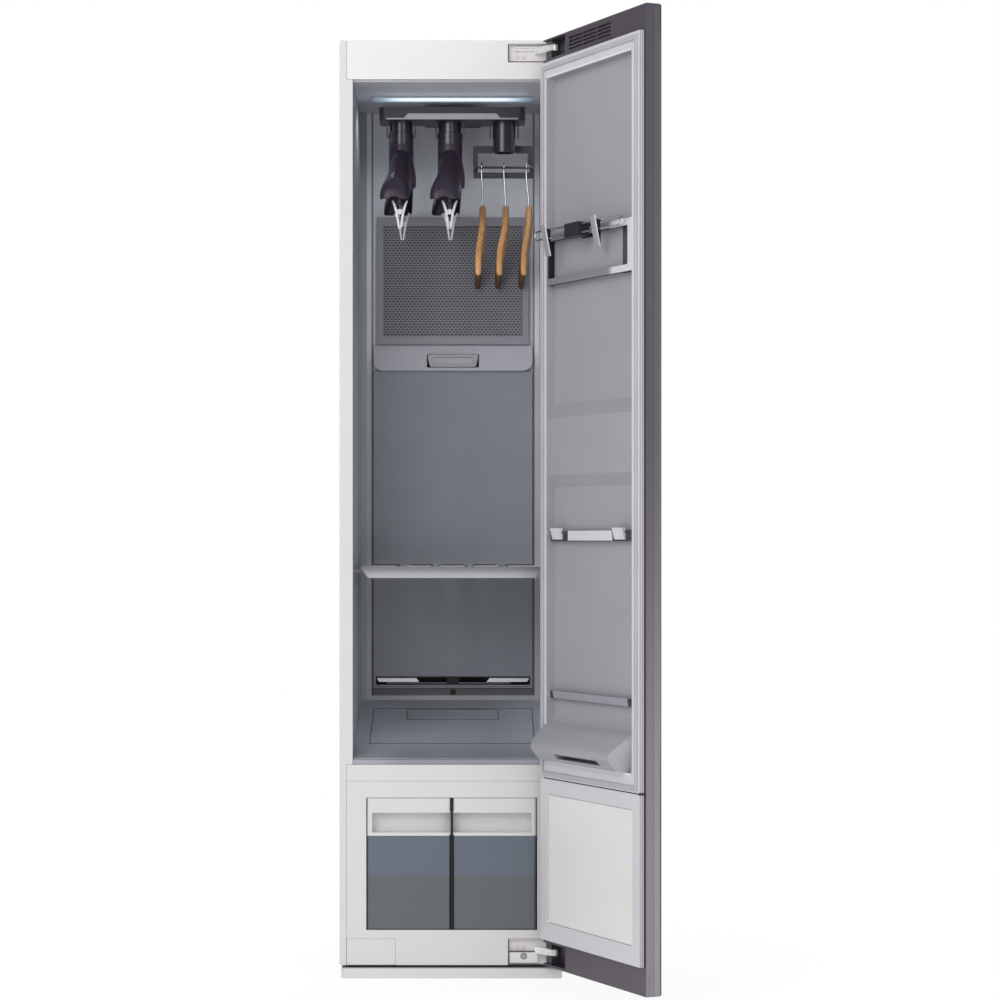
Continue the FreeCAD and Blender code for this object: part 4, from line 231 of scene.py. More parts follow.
def rounded(bm, indices, width, segments):
    """Rounds the edges with these indices."""
    bm.edges.ensure_lookup_table()
    bmesh.ops.bevel(bm, geom=[bm.edges[i] for i in indices], offset=width, offset_type="OFFSET",
                    affect="EDGES", segments=segments, profile=0.5, material=-1, clamp_overlap=False)
    bm.normal_update()


def turns_by(edge, degrees):
    """True where the two faces at an edge turn by more than an angle."""
    return len(edge.link_faces) == 2 and edge.calc_face_angle(0) > math.radians(degrees)


def folds(bm):
    """How many edges turn back on themselves."""
    return sum(turns_by(e, FOLD_DEG) for e in bm.edges)


def outward(bm):
    """Turns every face of closed forms outwards."""
    bmesh.ops.recalc_face_normals(bm, faces=bm.faces)


def keep(bm, name, body, finish, replaces=(), crisp=CRISP_DEG):
    """Makes the mesh a finished piece in metres that rides on a body."""
    bmesh.ops.scale(bm, vec=(MM, MM, MM), verts=bm.verts)
    mesh = bpy.data.meshes.new(name)
    bm.to_mesh(mesh)
    bm.free()
    mesh.shade_smooth()
    mesh.set_sharp_from_angle(angle=math.radians(crisp))
    mesh.materials.append(finish)
    piece = bpy.data.objects.new(name, mesh)
    bpy.context.scene.collection.objects.link(piece)
    even = piece.modifiers.new("even_shading", "WEIGHTED_NORMAL")
    even.keep_sharp = True
    even.weight = 100
    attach(piece, body)
    if replaces:
        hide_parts(*replaces)
    return piece


def copied(node, wanted=None, faces=None):
    """Merged copy of a CAD node's mesh in millimetres.

    wanted picks whole solids by their box. faces picks triangles by their middle and normal; the others
    stay, under material 1, until the edges have been rounded.
    """
    bm = bmesh.new()
    bm.from_mesh(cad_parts[node].data)
    bmesh.ops.scale(bm, vec=(1 / MM, 1 / MM, 1 / MM), verts=bm.verts)
    bm.normal_update()
    for face in bm.faces:
        face.material_index = 1 if faces and not faces(face.calc_center_median(), face.normal) else 0
    bmesh.ops.remove_doubles(bm, verts=bm.verts, dist=MERGE_MM)
    if wanted:
        for group in loose_groups(bm):
            low = Vector([min(v.co[i] for v in group) for i in range(3)])
            high = Vector([max(v.co[i] for v in group) for i in range(3)])
            if not wanted(low, high):
                bmesh.ops.delete(bm, geom=group, context="VERTS")
    bmesh.ops.dissolve_limit(bm, angle_limit=math.radians(FLAT_DEG), verts=bm.verts, edges=bm.edges,
                             delimit={"MATERIAL"})
    return bm


def loose_groups(bm):
    """Lists of vertices that hang together."""
    left = set(bm.verts)
    groups = []
    while left:
        group, open_ends = set(), [left.pop()]
        while open_ends:
            vert = open_ends.pop()
            group.add(vert)
            near = [e.other_vert(vert) for e in vert.link_edges]
            fresh = [v for v in near if v in left]
            left.difference_update(fresh)
            open_ends.extend(fresh)
        groups.append(list(group))
    return groups


def dressed(node, body, finish, edge, name=None, wanted=None, faces=None, segments=2):
    """A CAD node's own form with rounded edges, kept in the node's place."""
    bm = copied(node, wanted, faces)
    soften(bm, edge / MM, segments)
    bmesh.ops.delete(bm, geom=[f for f in bm.faces if f.material_index], context="FACES")
    return keep(bm, name or node + "_finished", body, finish, [node])


def painted(node, finish):
    """Gives a CAD node that stays in view its finish."""
    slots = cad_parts[node].data.materials
    slots.clear()
    slots.append(finish)


# ------------------------------------------------------------------------------ finishes
CLOUD_SIZE = 0.11                   # metres: change of tone over a moulding
GLOSS_SIZE = 0.035                  # metres: change of gloss
SHELF_LIP_SHADE_Z = (0.790, 0.811)        # metres: foot and top of the shelf's lip, down which painted shade darkens it


def add(tree, kind, inputs=None, **settings):
    """Adds a node with its settings, and sets or links its inputs."""
    made = tree.nodes.new(kind)
    for key, value in settings.items():
        setattr(made, key, value)
    for key, value in (inputs or {}).items():
        if isinstance(value, bpy.types.NodeSocket):
            tree.links.new(value, made.inputs[key])
        else:
            made.inputs[key].default_value = value
    return made


def rgba(colour, factor=1.0):
    """RGBA from linear RGB, lighter or darker by a factor."""
    return (*[min(1.0, c * factor) for c in colour], 1.0)


def tones(hex_colour, tone):
    """The same colour a little darker and a little lighter."""
    return rgba(linear(hex_colour), 1 - tone), rgba(linear(hex_colour), 1 + tone)


def blank(name):
    """New material without nodes, and its tree."""
    made = bpy.data.materials.new(name)
    made.use_nodes = True
    made.node_tree.nodes.clear()
    return made, made.node_tree


def skinned(made, inputs):
    """Finishes a material: one shader with these inputs, shown on its surface."""
    skin = add(made.node_tree, "ShaderNodeBsdfPrincipled", inputs)
    add(made.node_tree, "ShaderNodeOutputMaterial", {"Surface": skin.outputs["BSDF"]})
    return made


def textured(made, colour, rough, uneven, bumps, depth, more=None):
    """Finishes a material whose gloss follows one pattern between two limits, and its bumps another."""
    tree = made.node_tree
    gloss = add(tree, "ShaderNodeMapRange", {"Value": uneven, "To Min": rough[0], "To Max": rough[1]})
    bump = add(tree, "ShaderNodeBump", {"Height": bumps, "Distance": depth})
    return skinned(made, {"Base Color": colour, "Roughness": gloss.outputs["Result"],
                          "Normal": bump.outputs["Normal"], **(more or {})})


def place_in(tree):
    """X, Y and Z of a point in metres, and how far it is to either side of the middle."""
    where = add(tree, "ShaderNodeSeparateXYZ", {0: add(tree, "ShaderNodeTexCoord").outputs["Object"]}).outputs
    aside = add(tree, "ShaderNodeMath", {0: where["X"]}, operation="ABSOLUTE").outputs[0]
    return where["X"], where["Y"], where["Z"], aside


def grain(tree, size, detail=2.0, stretch=(1, 1, 1)):
    """Noise whose blobs are about size metres across, and longer along an axis stretched by less than one."""
    where = add(tree, "ShaderNodeTexCoord").outputs["Object"]
    place = add(tree, "ShaderNodeMapping", {"Vector": where, "Scale": stretch}).outputs["Vector"]
    return add(tree, "ShaderNodeTexNoise", {"Vector": place, "Scale": 1 / size,
                                            "Detail": detail}).outputs["Fac"]


def between(tree, fac, low, high, stops=(0.3, 0.7)):
    """Colour that runs from low to high as fac passes the stops."""
    ramp = add(tree, "ShaderNodeValToRGB", {"Fac": fac})
    for stop, place, colour in zip(ramp.color_ramp.elements, stops, (low, high)):
        stop.position = place
        stop.color = colour
    return ramp.outputs["Color"]


def ramped(tree, value, low, high, at_low, at_high):
    """Value that goes from at_low to at_high, smoothly, as another goes from low to high."""
    made = add(tree, "ShaderNodeMapRange", {"Value": value, "From Min": low, "From Max": high,
                                            "To Min": at_low, "To Max": at_high})
    made.interpolation_type = "SMOOTHSTEP"
    return made.outputs["Result"]


def product(tree, first, *others):
    """All values multiplied together."""
    for other in others:
        first = add(tree, "ShaderNodeMath", {0: first, 1: other}, operation="MULTIPLY").outputs[0]
    return first


def within(tree, value, edges):
    """One where a value is between two soft edges, zero outside them; the edges are four places."""
    return product(tree, ramped(tree, value, *edges[:2], 0.0, 1.0), ramped(tree, value, *edges[2:], 1.0, 0.0))


def dimmed(tree, mask, factor):
    """One where a mask is zero, and a factor where it is one."""
    return ramped(tree, mask, 0.0, 1.0, 1.0, factor)


def plastic(name, colour, rough, texture=0.0012, depth=0.00003, tone=0.04, ior=1.5, coat=0.0, shine=0.5):
    """Moulded plastic: a faint change of tone, an uneven gloss and a fine spark-eroded texture."""
    made, tree = blank(name)
    shade = between(tree, grain(tree, CLOUD_SIZE, 3.0), rgba(colour, 1 - tone), rgba(colour, 1 + tone))
    return textured(made, shade, uneven_gloss(rough), grain(tree, GLOSS_SIZE, 3.0), grain(tree, texture, 1.0),
                    depth, {"IOR": ior, "Specular IOR Level": shine, "Coat Weight": coat,
                            "Coat Roughness": 0.08})


def uneven_gloss(rough):
    """Limits of a moulded skin's roughness."""
    return rough - 0.04, rough + 0.05


def metal(name, shades, size, rough, depth, metallic=1.0, detail=2.0):
    """Bare or plated metal that hazes between two shades, in blobs of a size in metres."""
    made, tree = blank(name)
    haze = grain(tree, size, detail)
    return textured(made, between(tree, haze, *shades), rough, haze, haze, depth, {"Metallic": metallic})


def powder_coated_steel():
    """Sheet steel sprayed and baked: satin white with the soft ripple of orange peel about 3 mm wide."""
    return plastic("powder_coated_steel", colours().enamel, 0.42, 0.003, 0.00004, 0.012)


def moulded_white_abs():
    """Injection-moulded ABS of the fascias: a touch warmer and smoother than the steel beside it."""
    return plastic("moulded_white_abs", colours().fascia, 0.36, 0.0012, 0.00001, 0.012, 1.53)


def shaded_lower_white_abs():
    """The same ABS on the lower front, coloured a little greyer as painted shade because it faces down the
    light.
    """
    return plastic("shaded_lower_white_abs", linear("#D7D5D3"), 0.40, 0.0012, 0.00001, 0.012, 1.53)


def rear_grey_abs():
    """Rear cover of the chamber: fine-textured ABS, a shade darker and bluer than the side walls."""
    return plastic("rear_grey_abs", linear("#94979F"), 0.45, 0.0010, 0.00003, 0.03)


def filter_grey_abs():
    """Filter frame: fine-textured grey ABS, warmer than the wall it sits in."""
    return plastic("filter_grey_abs", linear("#9C9BA4"), 0.42, 0.0010, 0.00002, 0.03)


def screen_grey():
    """Filter screen: thin moulded mesh, darker where it is cut through."""
    return plastic("screen_grey", linear("#8E8D96"), 0.50, 0.0010, 0.00002, 0.05)


def painted_light_ceiling_abs():
    """Ceiling of the chamber: grey ABS coloured paler than the walls, as painted light for the lamp that
    lights it from below.
    """
    return plastic("painted_light_ceiling_abs", linear("#CFD0D7"), 0.50, 0.0010, 0.00003, 0.02)


def ledge_grey_abs():
    """Ledge over the rear cover: the same ABS, coloured paler as painted light where its slope catches the
    light.
    """
    return plastic("ledge_grey_abs", linear("#C3C2CB"), 0.40, 0.0010, 0.00002, 0.02)


def light_grey_abs():
    """Raised border of the door liner: pale grey ABS with an even satin gloss."""
    return plastic("light_grey_abs", linear("#D4D1D6"), 0.38, 0.0012, 0.00001, 0.015)


def door_grey_abs():
    """Recess of the door liner: mid-grey ABS with a fine etched grain."""
    return plastic("door_grey_abs", colours().door_liner, 0.46, 0.0010, 0.00003, 0.025)


def near_white_abs_and_painted_light():
    """Near-white satin ABS of the sunk panel of the door liners and the hinge trays; also a painted highlight
    on the rim of the door liners and painted light on the top of the shelf.
    """
    return plastic("near_white_abs_and_painted_light", linear("#E8E4E3"), 0.40, 0.0012, 0.00001, 0.012)


def black_nylon():
    """Dock, rack and vents: charcoal glass-filled nylon with a dull moulded skin."""
    return plastic("black_nylon", linear("#37353B"), 0.38, 0.0010, 0.00003, 0.05)


def black_abs_and_painted_shade():
    """Black ABS that hardly returns light, for black parts and the inside of slots and ducts; also painted
    shade in the gap under the lower fascia, the seams of the floor, the frame's reveals and behind the
    shelf's back edges.
    """
    return plastic("black_abs_and_painted_shade", linear("#17171A"), 0.55, 0.0010, 0.00003, 0.05)


def hanger_polycarbonate():
    """Air hangers: purple-black polycarbonate with a clear, slightly soft gloss."""
    return plastic("hanger_polycarbonate", colours().hanger, 0.26, 0.0014, 0.00001, 0.05, 1.58, 0.3)


def shoulder_polycarbonate():
    """Shoulders of the air hangers: the same purple-black, with a softer, finely spark-eroded skin."""
    return plastic("shoulder_polycarbonate", linear("#382F3E"), 0.32, 0.0012, 0.00001, 0.05, 1.5, 0.0, 0.35)


def purple_grey_abs():
    """Block of the clip hanger: dark purple-grey moulded plastic."""
    return plastic("purple_grey_abs", linear("#2C2731"), 0.40, 0.0010, 0.00002, 0.04, 1.5, 0.0, 0.3)


def pad_grey_abs():
    """Pads of the press bars: pale grey ABS with a fine grip texture."""
    return plastic("pad_grey_abs", linear("#D8D7DB"), 0.42, 0.0016, 0.00004, 0.03)


def bright_nickel():
    """Clips: bright nickel plate over spring steel, almost white."""
    return metal("bright_nickel", (rgba(linear("#E4E4E8")), rgba(linear("#F6F6F8"))), 0.004, (0.20, 0.30),
                 0.000004, 0.35)


def silicone_gasket():
    """Door seal: pale grey silicone rubber, quite matt, with a faint bloom."""
    return plastic("silicone_gasket", linear("#B8B5BA"), 0.55, 0.0020, 0.00004, 0.05, 1.42)


def black_rubber():
    """Feet: vulcanised rubber, matt black."""
    return plastic("black_rubber", linear("#242426"), 0.75, 0.0016, 0.00006, 0.08, 1.52)


def grey_foam():
    """Foam boards: closed-cell polyethylene with cells about 2 mm across."""
    return plastic("grey_foam", linear("#8C8C88"), 0.85, 0.0022, 0.0003, 0.12, 1.45)


def polished_chrome():
    """Hooks and rods: chromium plate over steel wire, mirror bright with a trace of haze."""
    return metal("polished_chrome", tones("#DADBDD", 0.06), 0.0012, (0.04, 0.18), 0.00001)


def shelf_aluminium():
    """Shelf: anodised aluminium brushed along its width; painted shade darkens its lip downwards, where it
    turns down out of the light.
    """
    made, tree = blank("shelf_aluminium")
    lines = grain(tree, 0.0010, 2.0, (0.03, 1, 1))
    shade = between(tree, ramped(tree, place_in(tree)[2], *SHELF_LIP_SHADE_Z, 1.0, 0.0), rgba(linear("#83848A")),
                    rgba(linear("#BBBCC0")), (0.0, 1.0))
    return textured(made, shade, (0.34, 0.46), lines, lines, 0.00001, {"Metallic": 1.0})


def silver_plate():
    """Bright trims: satin nickel plate with a soft, even haze."""
    return metal("silver_plate", (rgba(linear("#A9A7AC")), rgba(linear("#B0AEB3"))), 0.02, (0.30, 0.34),
                 0.000002, 0.35, 1.0)


def zinc_plated_steel():
    """Hidden steel and screws: zinc plate with a cloudy spangle about 12 mm across."""
    return metal("zinc_plated_steel", tones("#A7AAAD", 0.12), 0.012, (0.32, 0.46), 0.000005)


def hinge_steel():
    """Hinge arms: nickel-plated pressed steel, bright satin."""
    return metal("hinge_steel", (rgba(linear("#E6E6E6")), rgba(linear("#F2F2F2"))), 0.010, (0.24, 0.32),
                 0.000003, 0.3)


def copper_fins():
    """Refrigerant coils: copper pipe and thin fins, slightly tarnished."""
    return metal("copper_fins", tones("#B98360", 0.15), 0.02, (0.29, 0.43), 0.00001)


def board_green():
    """Circuit board: green solder mask over glass-fibre board."""
    return plastic("board_green", linear("#2E5A44"), 0.35, 0.0015, 0.00002, 0.12)


# ------------------------------------------------------------------------------ stage
CAMERA_X = 0.034                    # metres, level with the shelf and far in front of the cabinet
CAMERA_Y = -5.733
CAMERA_Z = 0.864
LENS_MM = 104.58
SHIFT = (0.031, 0.040)
WHITE = (1.0, 1.0, 1.0, 1.0)


def seen_white(tree):
    """One where a ray comes straight from the camera, a reflection or a refraction."""
    path = add(tree, "ShaderNodeLightPath").outputs
    plus = add(tree, "ShaderNodeMath", {0: path["Is Camera Ray"], 1: path["Is Glossy Ray"]}, operation="ADD")
    return add(tree, "ShaderNodeMath", {0: plus.outputs[0], 1: path["Is Transmission Ray"]},
               operation="MAXIMUM", use_clamp=True).outputs[0]


class SCENE_OT_cabinet_stage(bpy.types.Operator):
    """Pale floor, even studio light and the camera"""

    bl_idname = "steam_cabinet.stage"
    bl_label = "Stage"

    def execute(self, context):
        world = bpy.data.worlds.new("studio")
        context.scene.world = world
        world.use_nodes = True
        tree = world.node_tree
        tree.nodes.clear()
        room = add(tree, "ShaderNodeBackground", {"Color": (0.96, 0.98, 1.0, 1.0), "Strength": 0.62})
        paper = add(tree, "ShaderNodeBackground", {"Color": WHITE, "Strength": 1.0})
        where = add(tree, "ShaderNodeTexCoord").outputs["Generated"]
        height = add(tree, "ShaderNodeSeparateXYZ", {0: where}).outputs["Z"]
        dusk = between(tree, height, (0.80, 0.80, 0.81, 1), (0.16, 0.15, 0.17, 1), (-0.02, 0.12))
        mirrored = add(tree, "ShaderNodeBackground", {"Color": dusk, "Strength": 1.0})
        path = add(tree, "ShaderNodeLightPath").outputs
        seen = add(tree, "ShaderNodeMixShader", {0: seen_white(tree), 1: room.outputs[0],
                                                 2: paper.outputs[0]})
        mixed = add(tree, "ShaderNodeMixShader", {0: path["Is Glossy Ray"], 1: seen.outputs[0],
                                                  2: mirrored.outputs[0]})
        add(tree, "ShaderNodeOutputWorld", {"Surface": mixed.outputs[0]})

        bm = bmesh.new()
        bmesh.ops.create_grid(bm, x_segments=1, y_segments=1, size=14.0)
        mesh = bpy.data.meshes.new("floor")
        bm.to_mesh(mesh)
        bm.free()
        mesh.materials.append(self.floor_finish())
        floor = bpy.data.objects.new("floor", mesh)
        context.scene.collection.objects.link(floor)

        self.lamp(context, "key", (-1.6, -3.6, 2.7), (0.0, 0.0, 1.0), 2.4, 62.0)
        self.lamp(context, "fill", (2.2, -3.4, 1.3), (0.1, 0.0, 0.9), 2.2, 30.0)
        self.lamp(context, "back", (0.4, 3.2, 2.6), (0.0, 0.6, 1.0), 2.4, 40.0)

        data = bpy.data.cameras.new("camera")
        data.lens = LENS_MM
        data.sensor_width = 36.0
        data.shift_x, data.shift_y = SHIFT
        camera = bpy.data.objects.new("camera", data)
        camera.location = (CAMERA_X, CAMERA_Y, CAMERA_Z)
        camera.rotation_euler = (math.radians(90), 0, 0)
        context.scene.collection.objects.link(camera)
        context.scene.camera = camera
        context.scene.view_settings.view_transform = "Standard"
        return {"FINISHED"}

    def floor_finish(self):
        """Studio paper: white where it is seen, and still holding a soft shadow."""
        made, tree = blank("studio_paper")
        paper = add(tree, "ShaderNodeBsdfDiffuse", {"Color": rgba(linear("#E6E6E6"))})
        under = add(tree, "ShaderNodeEmission", {"Color": WHITE, "Strength": 0.22})
        plain = add(tree, "ShaderNodeAddShader", {0: paper.outputs[0], 1: under.outputs[0]})
        soft = add(tree, "ShaderNodeBsdfDiffuse", {"Color": rgba(linear("#7C7C7C"))})
        glow = add(tree, "ShaderNodeEmission", {"Color": WHITE, "Strength": 0.84})
        near = add(tree, "ShaderNodeAddShader", {0: soft.outputs[0], 1: glow.outputs[0]})
        white = add(tree, "ShaderNodeEmission", {"Color": WHITE, "Strength": 1.0})
        away = add(tree, "ShaderNodeVectorMath", {0: add(tree, "ShaderNodeTexCoord").outputs["Object"]},
                   operation="LENGTH").outputs["Value"]
        fade = add(tree, "ShaderNodeMapRange", {"Value": away, "From Min": 0.9, "From Max": 1.8})
        seen = add(tree, "ShaderNodeMixShader", {0: fade.outputs["Result"], 1: near.outputs[0],
                                                 2: white.outputs[0]})
        mixed = add(tree, "ShaderNodeMixShader", {0: seen_white(tree), 1: plain.outputs[0],
                                                  2: seen.outputs[0]})
        add(tree, "ShaderNodeOutputMaterial", {"Surface": mixed.outputs[0]})
        return made

    def lamp(self, context, name, place, aim, size, power):
        """Large square soft box."""
        data = bpy.data.lights.new(name, "AREA")
        data.size = size
        data.energy = power
        lamp = bpy.data.objects.new(name, data)
        lamp.location = place
        lamp.rotation_mode = "QUATERNION"
        lamp.rotation_quaternion = (Vector(aim) - Vector(place)).to_track_quat("-Z", "Y")
        context.scene.collection.objects.link(lamp)


# ------------------------------------------------------------------------------ casing
POST_HALF = 1.6                     # of the thin post between the two tanks, with its foot and head
POST_Z = (94.5, 355.2)
POST_EDGE = 0.0002                  # metres: rounding of the post, and of the screws' heads
SCREW_EDGE = 0.0004
MID_DEPTH = 100.0                   # screws in front of this are in the tray, the others in the rear panel


class SCENE_OT_cabinet_casing(bpy.types.Operator):
    """Panels, fascias, plinth and feet"""

    bl_idname = "steam_cabinet.casing"
    bl_label = "Casing"

    def execute(self, context):
        edge = sizes().panel_edge
        steel = powder_coated_steel()
        white = moulded_white_abs()
        shaded_low_white = shaded_lower_white_abs()
        for node in ("side_panel_left", "side_panel_right", "top_panel"):
            dressed(node, "cabinet", steel, edge)
        dressed("top_fascia", "cabinet", white, edge)
        for node in ("trim_strip", "service_cover"):
            dressed(node, "cabinet", shaded_low_white, sizes().small_edge)
        dressed("lower_fascia", "cabinet", shaded_low_white, sizes().small_edge, name="lower_fascia_face",
                faces=lambda middle, normal: not on_post(middle))
        dressed("lower_fascia", "cabinet", black_abs_and_painted_shade(), POST_EDGE, name="tank_bay_post",
                faces=lambda middle, normal: on_post(middle))
        dressed("plinth", "cabinet", shaded_low_white, edge)
        # painted shadow: the base tray is coloured deep black for the shade in the gap under the lower fascia
        painted("base_tray", black_abs_and_painted_shade())
        painted("levelling_feet", black_rubber())
        dressed("rear_panel", "cabinet", zinc_plated_steel(), sizes().small_edge,
                segments=1)
        dressed("power_inlet", "cabinet", black_nylon(), sizes().small_edge)
        dressed("screws", "cabinet", zinc_plated_steel(), SCREW_EDGE, name="rear_screws",
                wanted=lambda low, high: low.y > MID_DEPTH)
        dressed("screws", "cabinet", shaded_lower_white_abs(), SCREW_EDGE, name="tray_screws",
                wanted=lambda low, high: low.y < MID_DEPTH)
        return {"FINISHED"}


def on_post(middle):
    """True for the thin post between the two tanks."""
    return abs(middle.x) < POST_HALF and POST_Z[0] < middle.z < POST_Z[1]


# ------------------------------------------------------------------------------ chamber
SCREEN_X = (-147.0, 147.0)
SCREEN_Z = (1297.0, 1530.0)
SCREEN_Y = 432.5
SCREEN_THICK = 1.6
SCREEN_RIB = 0.27                   # of a row, left round each hole
MAT_Y = (436.2, 437.4)              # dark mat behind the screen
MAT_REACH = 2.0                     # and how far it goes past the screen
HANDLE_BACK_Y = 433.0
HANDLE_FOOT_HALF = 49.0
HANDLE_RIM = (12.0, 5.5, 5.0)       # width at the sides, foot and head
GRIP_SUNK = 2.4                     # start of the grip before the handle's back, and its thickness
GRIP_THICK = 2.2
LEDGE_Z = 1222.5                    # foot of the ledge over the rear cover
VANE = ((163.2, 572.4), (79.5, 572.4), (71.2, 562.3), (157.5, 562.3))
VANE_Y = (440.4, 2.6)               # front and thickness
SILL = ((-167.0, 437.4, 553.2), (167.0, 440.0, 556.4))
RAIL_X = ((-141.0, -11.5), (12.0, 123.0))
RAIL_Y = (439.6, 441.0)
RAIL_Z = (559.3, 561.2)
# painted shadow: dark strips standing up behind the back edge of each tongue of the shelf
EDGE_SHADOW_X = ((-165, -111), (-91, -42), (-24, 24), (42, 91), (111, 165))
EDGE_SHADOW_Y = (395.5, 399.5)
EDGE_SHADOW_TALL = 1.8
TOP_SKIN = 0.01                     # faces within this of the shelf's top belong to its deck
# painted shadow: dark wires lie in the seams round the sump cover and round this finger recess
RECESS_SEAM = (-95.0, 95.0, 290.0, 366.0)
SEAM_R = 0.75
SEAM_SUNK = 0.2
LAMP_FOOT_Z = 1772.0                # the lamp's diffuser is below this
LAMP_POWER = 1.1
LAMP_SPREAD = math.radians(125)
# metres, as shaders read them; a window is two soft edges, each with its start and end
LAMP_HALF = 0.165
LAMP_LIT_Y = (0.205, 0.210, 0.238, 0.262)
LAMP_PITCH = 0.0044
WALL_RAIL_Z = (0.7980, 0.7988, 0.8070, 0.8076)          # painted shade on the shelf's rail along the side walls, just under the shelf
WALL_RAIL_X = (0.1945, 0.1950)
GROOVE_SHADOW_X = (0.1690, 0.1700, 0.1728, 0.1740)             # painted shadow in a groove down each side of the rear panel
FOOT_Z = (0.531, 0.536, 0.549, 0.550)                   # painted shadow: dark band at the foot of the rear panel
FOOT_SHADOW_X = (0.1705, 0.1725)


class SCENE_OT_cabinet_chamber(bpy.types.Operator):
    """Walls, ceiling, floor and rear of the hanging chamber"""

    bl_idname = "steam_cabinet.chamber"
    bl_label = "Chamber"

    def execute(self, context):
        small = sizes().small_edge
        wall = chamber_wall_abs()
        rear = rear_grey_abs()
        dressed("chamber_walls", "cabinet", wall, small)
        dressed("chamber_ceiling", "cabinet", painted_light_ceiling_abs(), small)
        dressed("chamber_back", "cabinet", chamber_back_abs(), small, segments=1)
        floor = chamber_floor_abs()
        dressed("chamber_floor", "cabinet", floor, small)
        dressed("floor_cover", "sump_cover", floor, small * 2)
        dressed("back_cover", "cabinet", rear, small * 2, name="back_cover_panel",
                faces=lambda middle, normal: middle.z < LEDGE_Z)
        # painted light: the ledge is coloured paler than the rear cover below it
        dressed("back_cover", "cabinet", ledge_grey_abs(), small * 2, name="back_cover_ledge",
                faces=lambda middle, normal: middle.z >= LEDGE_Z)
        dressed("air_outlet", "cabinet", black_abs_and_painted_shade(), small)
        dressed("bright_trims", "cabinet", silver_plate(), small / 2, name="dock_strip",
                wanted=lambda low, high: low.z > 1000)
        self.outlet()
        self.floor_seam_shadows()
        top = span("shelf")[1].z
        dressed("shelf", "shelf_plate", shelf_aluminium(), small, name="shelf_lip",
                faces=lambda middle, normal: middle.z < top - TOP_SKIN)
        # painted light: the shelf's top is coloured near-white for the light it reflects
        dressed("shelf", "shelf_plate", near_white_abs_and_painted_light(), small, name="shelf_deck",
                faces=lambda middle, normal: middle.z >= top - TOP_SKIN)
        # painted shadow behind the back edge of each tongue of the shelf
        bm = bmesh.new()
        for x0, x1 in EDGE_SHADOW_X:
            block(bm, (x0, EDGE_SHADOW_Y[0], top - 1), (x1, EDGE_SHADOW_Y[1], top + EDGE_SHADOW_TALL))
        soften(bm, 0.4)
        keep(bm, "shelf_back_edge_shadows", "shelf_plate", black_abs_and_painted_shade())
        self.lamp(context)
        self.filter()
        self.cartridge()
        return {"FINISHED"}

    def outlet(self):
        """Bright vanes at both ends of the outlet, a sill under it and thin rails to its middle."""
        bm = bmesh.new()
        for side in (-1, 1):
            drawn(bm, [(side * x, VANE_Y[0], z) for x, z in VANE], (0, 1, 0), VANE_Y[1])
        outward(bm)
        soften(bm, 0.5)
        keep(bm, "outlet_vanes", "cabinet", bright_nickel(), ["bright_trims"])
        bm = bmesh.new()
        block(bm, *SILL)
        for x0, x1 in RAIL_X:
            block(bm, (x0, RAIL_Y[0], RAIL_Z[0]), (x1, RAIL_Y[1], RAIL_Z[1]))
        outward(bm)
        soften(bm, 0.4)
        keep(bm, "outlet_sill", "cabinet", filter_grey_abs())

    def floor_seam_shadows(self):
        """Painted shadow in the seams round the sump cover and its finger recess: dark wires along the slope
        of the floor.
        """
        low, high = span("floor_cover")
        for name, body, (x0, x1, y0, y1) in (("floor_seam_shadow", "cabinet", (low.x, high.x, low.y, high.y)),
                                             ("finger_recess_seam_shadow", "sump_cover", RECESS_SEAM)):
            corners = [(x, y, slope_z(y) - SEAM_SUNK) for x, y in oblong(x0, x1, y0, y1)]
            bm = bmesh.new()
            for start, end in zip(corners, corners[1:] + corners[:1]):
                wire(bm, [start, end], SEAM_R, 8)
            outward(bm)
            keep(bm, name, body, black_abs_and_painted_shade())

    def lamp(self, context):
        """Diffuser with its row of lamps, and the light that it gives the chamber."""
        small = sizes().small_edge
        dressed("led_light", "cabinet", lamp_diffuser(), small, name="lamp_diffuser",
                faces=lambda middle, normal: middle.z < LAMP_FOOT_Z)
        low, high = span("led_light")
        data = bpy.data.lights.new("chamber_lamp", "AREA")
        data.shape = "RECTANGLE"
        data.size = (high.x - low.x) * MM
        data.size_y = (high.y - low.y) * MM
        data.energy = LAMP_POWER
        data.spread = LAMP_SPREAD
        data.color = (0.90, 0.96, 1.0)
        lamp = bpy.data.objects.new("chamber_lamp", data)
        lamp.location = Vector(((low.x + high.x) / 2, (low.y + high.y) / 2, low.z - 1)) * MM
        context.scene.collection.objects.link(lamp)

    def filter(self):
        """Filter frame, and its screen: a thin sheet of holes, each row half a hole on from the last."""
        low, high = span("air_filter")
        bm = bmesh.new()
        ring_y(bm, oblong(low.x, high.x, low.z, high.z), oblong(*SCREEN_X, *SCREEN_Z), low.y, high.y)
        outward(bm)
        soften(bm, 1.2)
        keep(bm, "filter_frame", "filter", filter_grey_abs(), ["air_filter"])
        bm = bmesh.new()
        block(bm, (SCREEN_X[0] - MAT_REACH, MAT_Y[0], SCREEN_Z[0] - MAT_REACH),
              (SCREEN_X[1] + MAT_REACH, MAT_Y[1], SCREEN_Z[1] + MAT_REACH))
        keep(bm, "filter_mat", "filter", black_nylon())

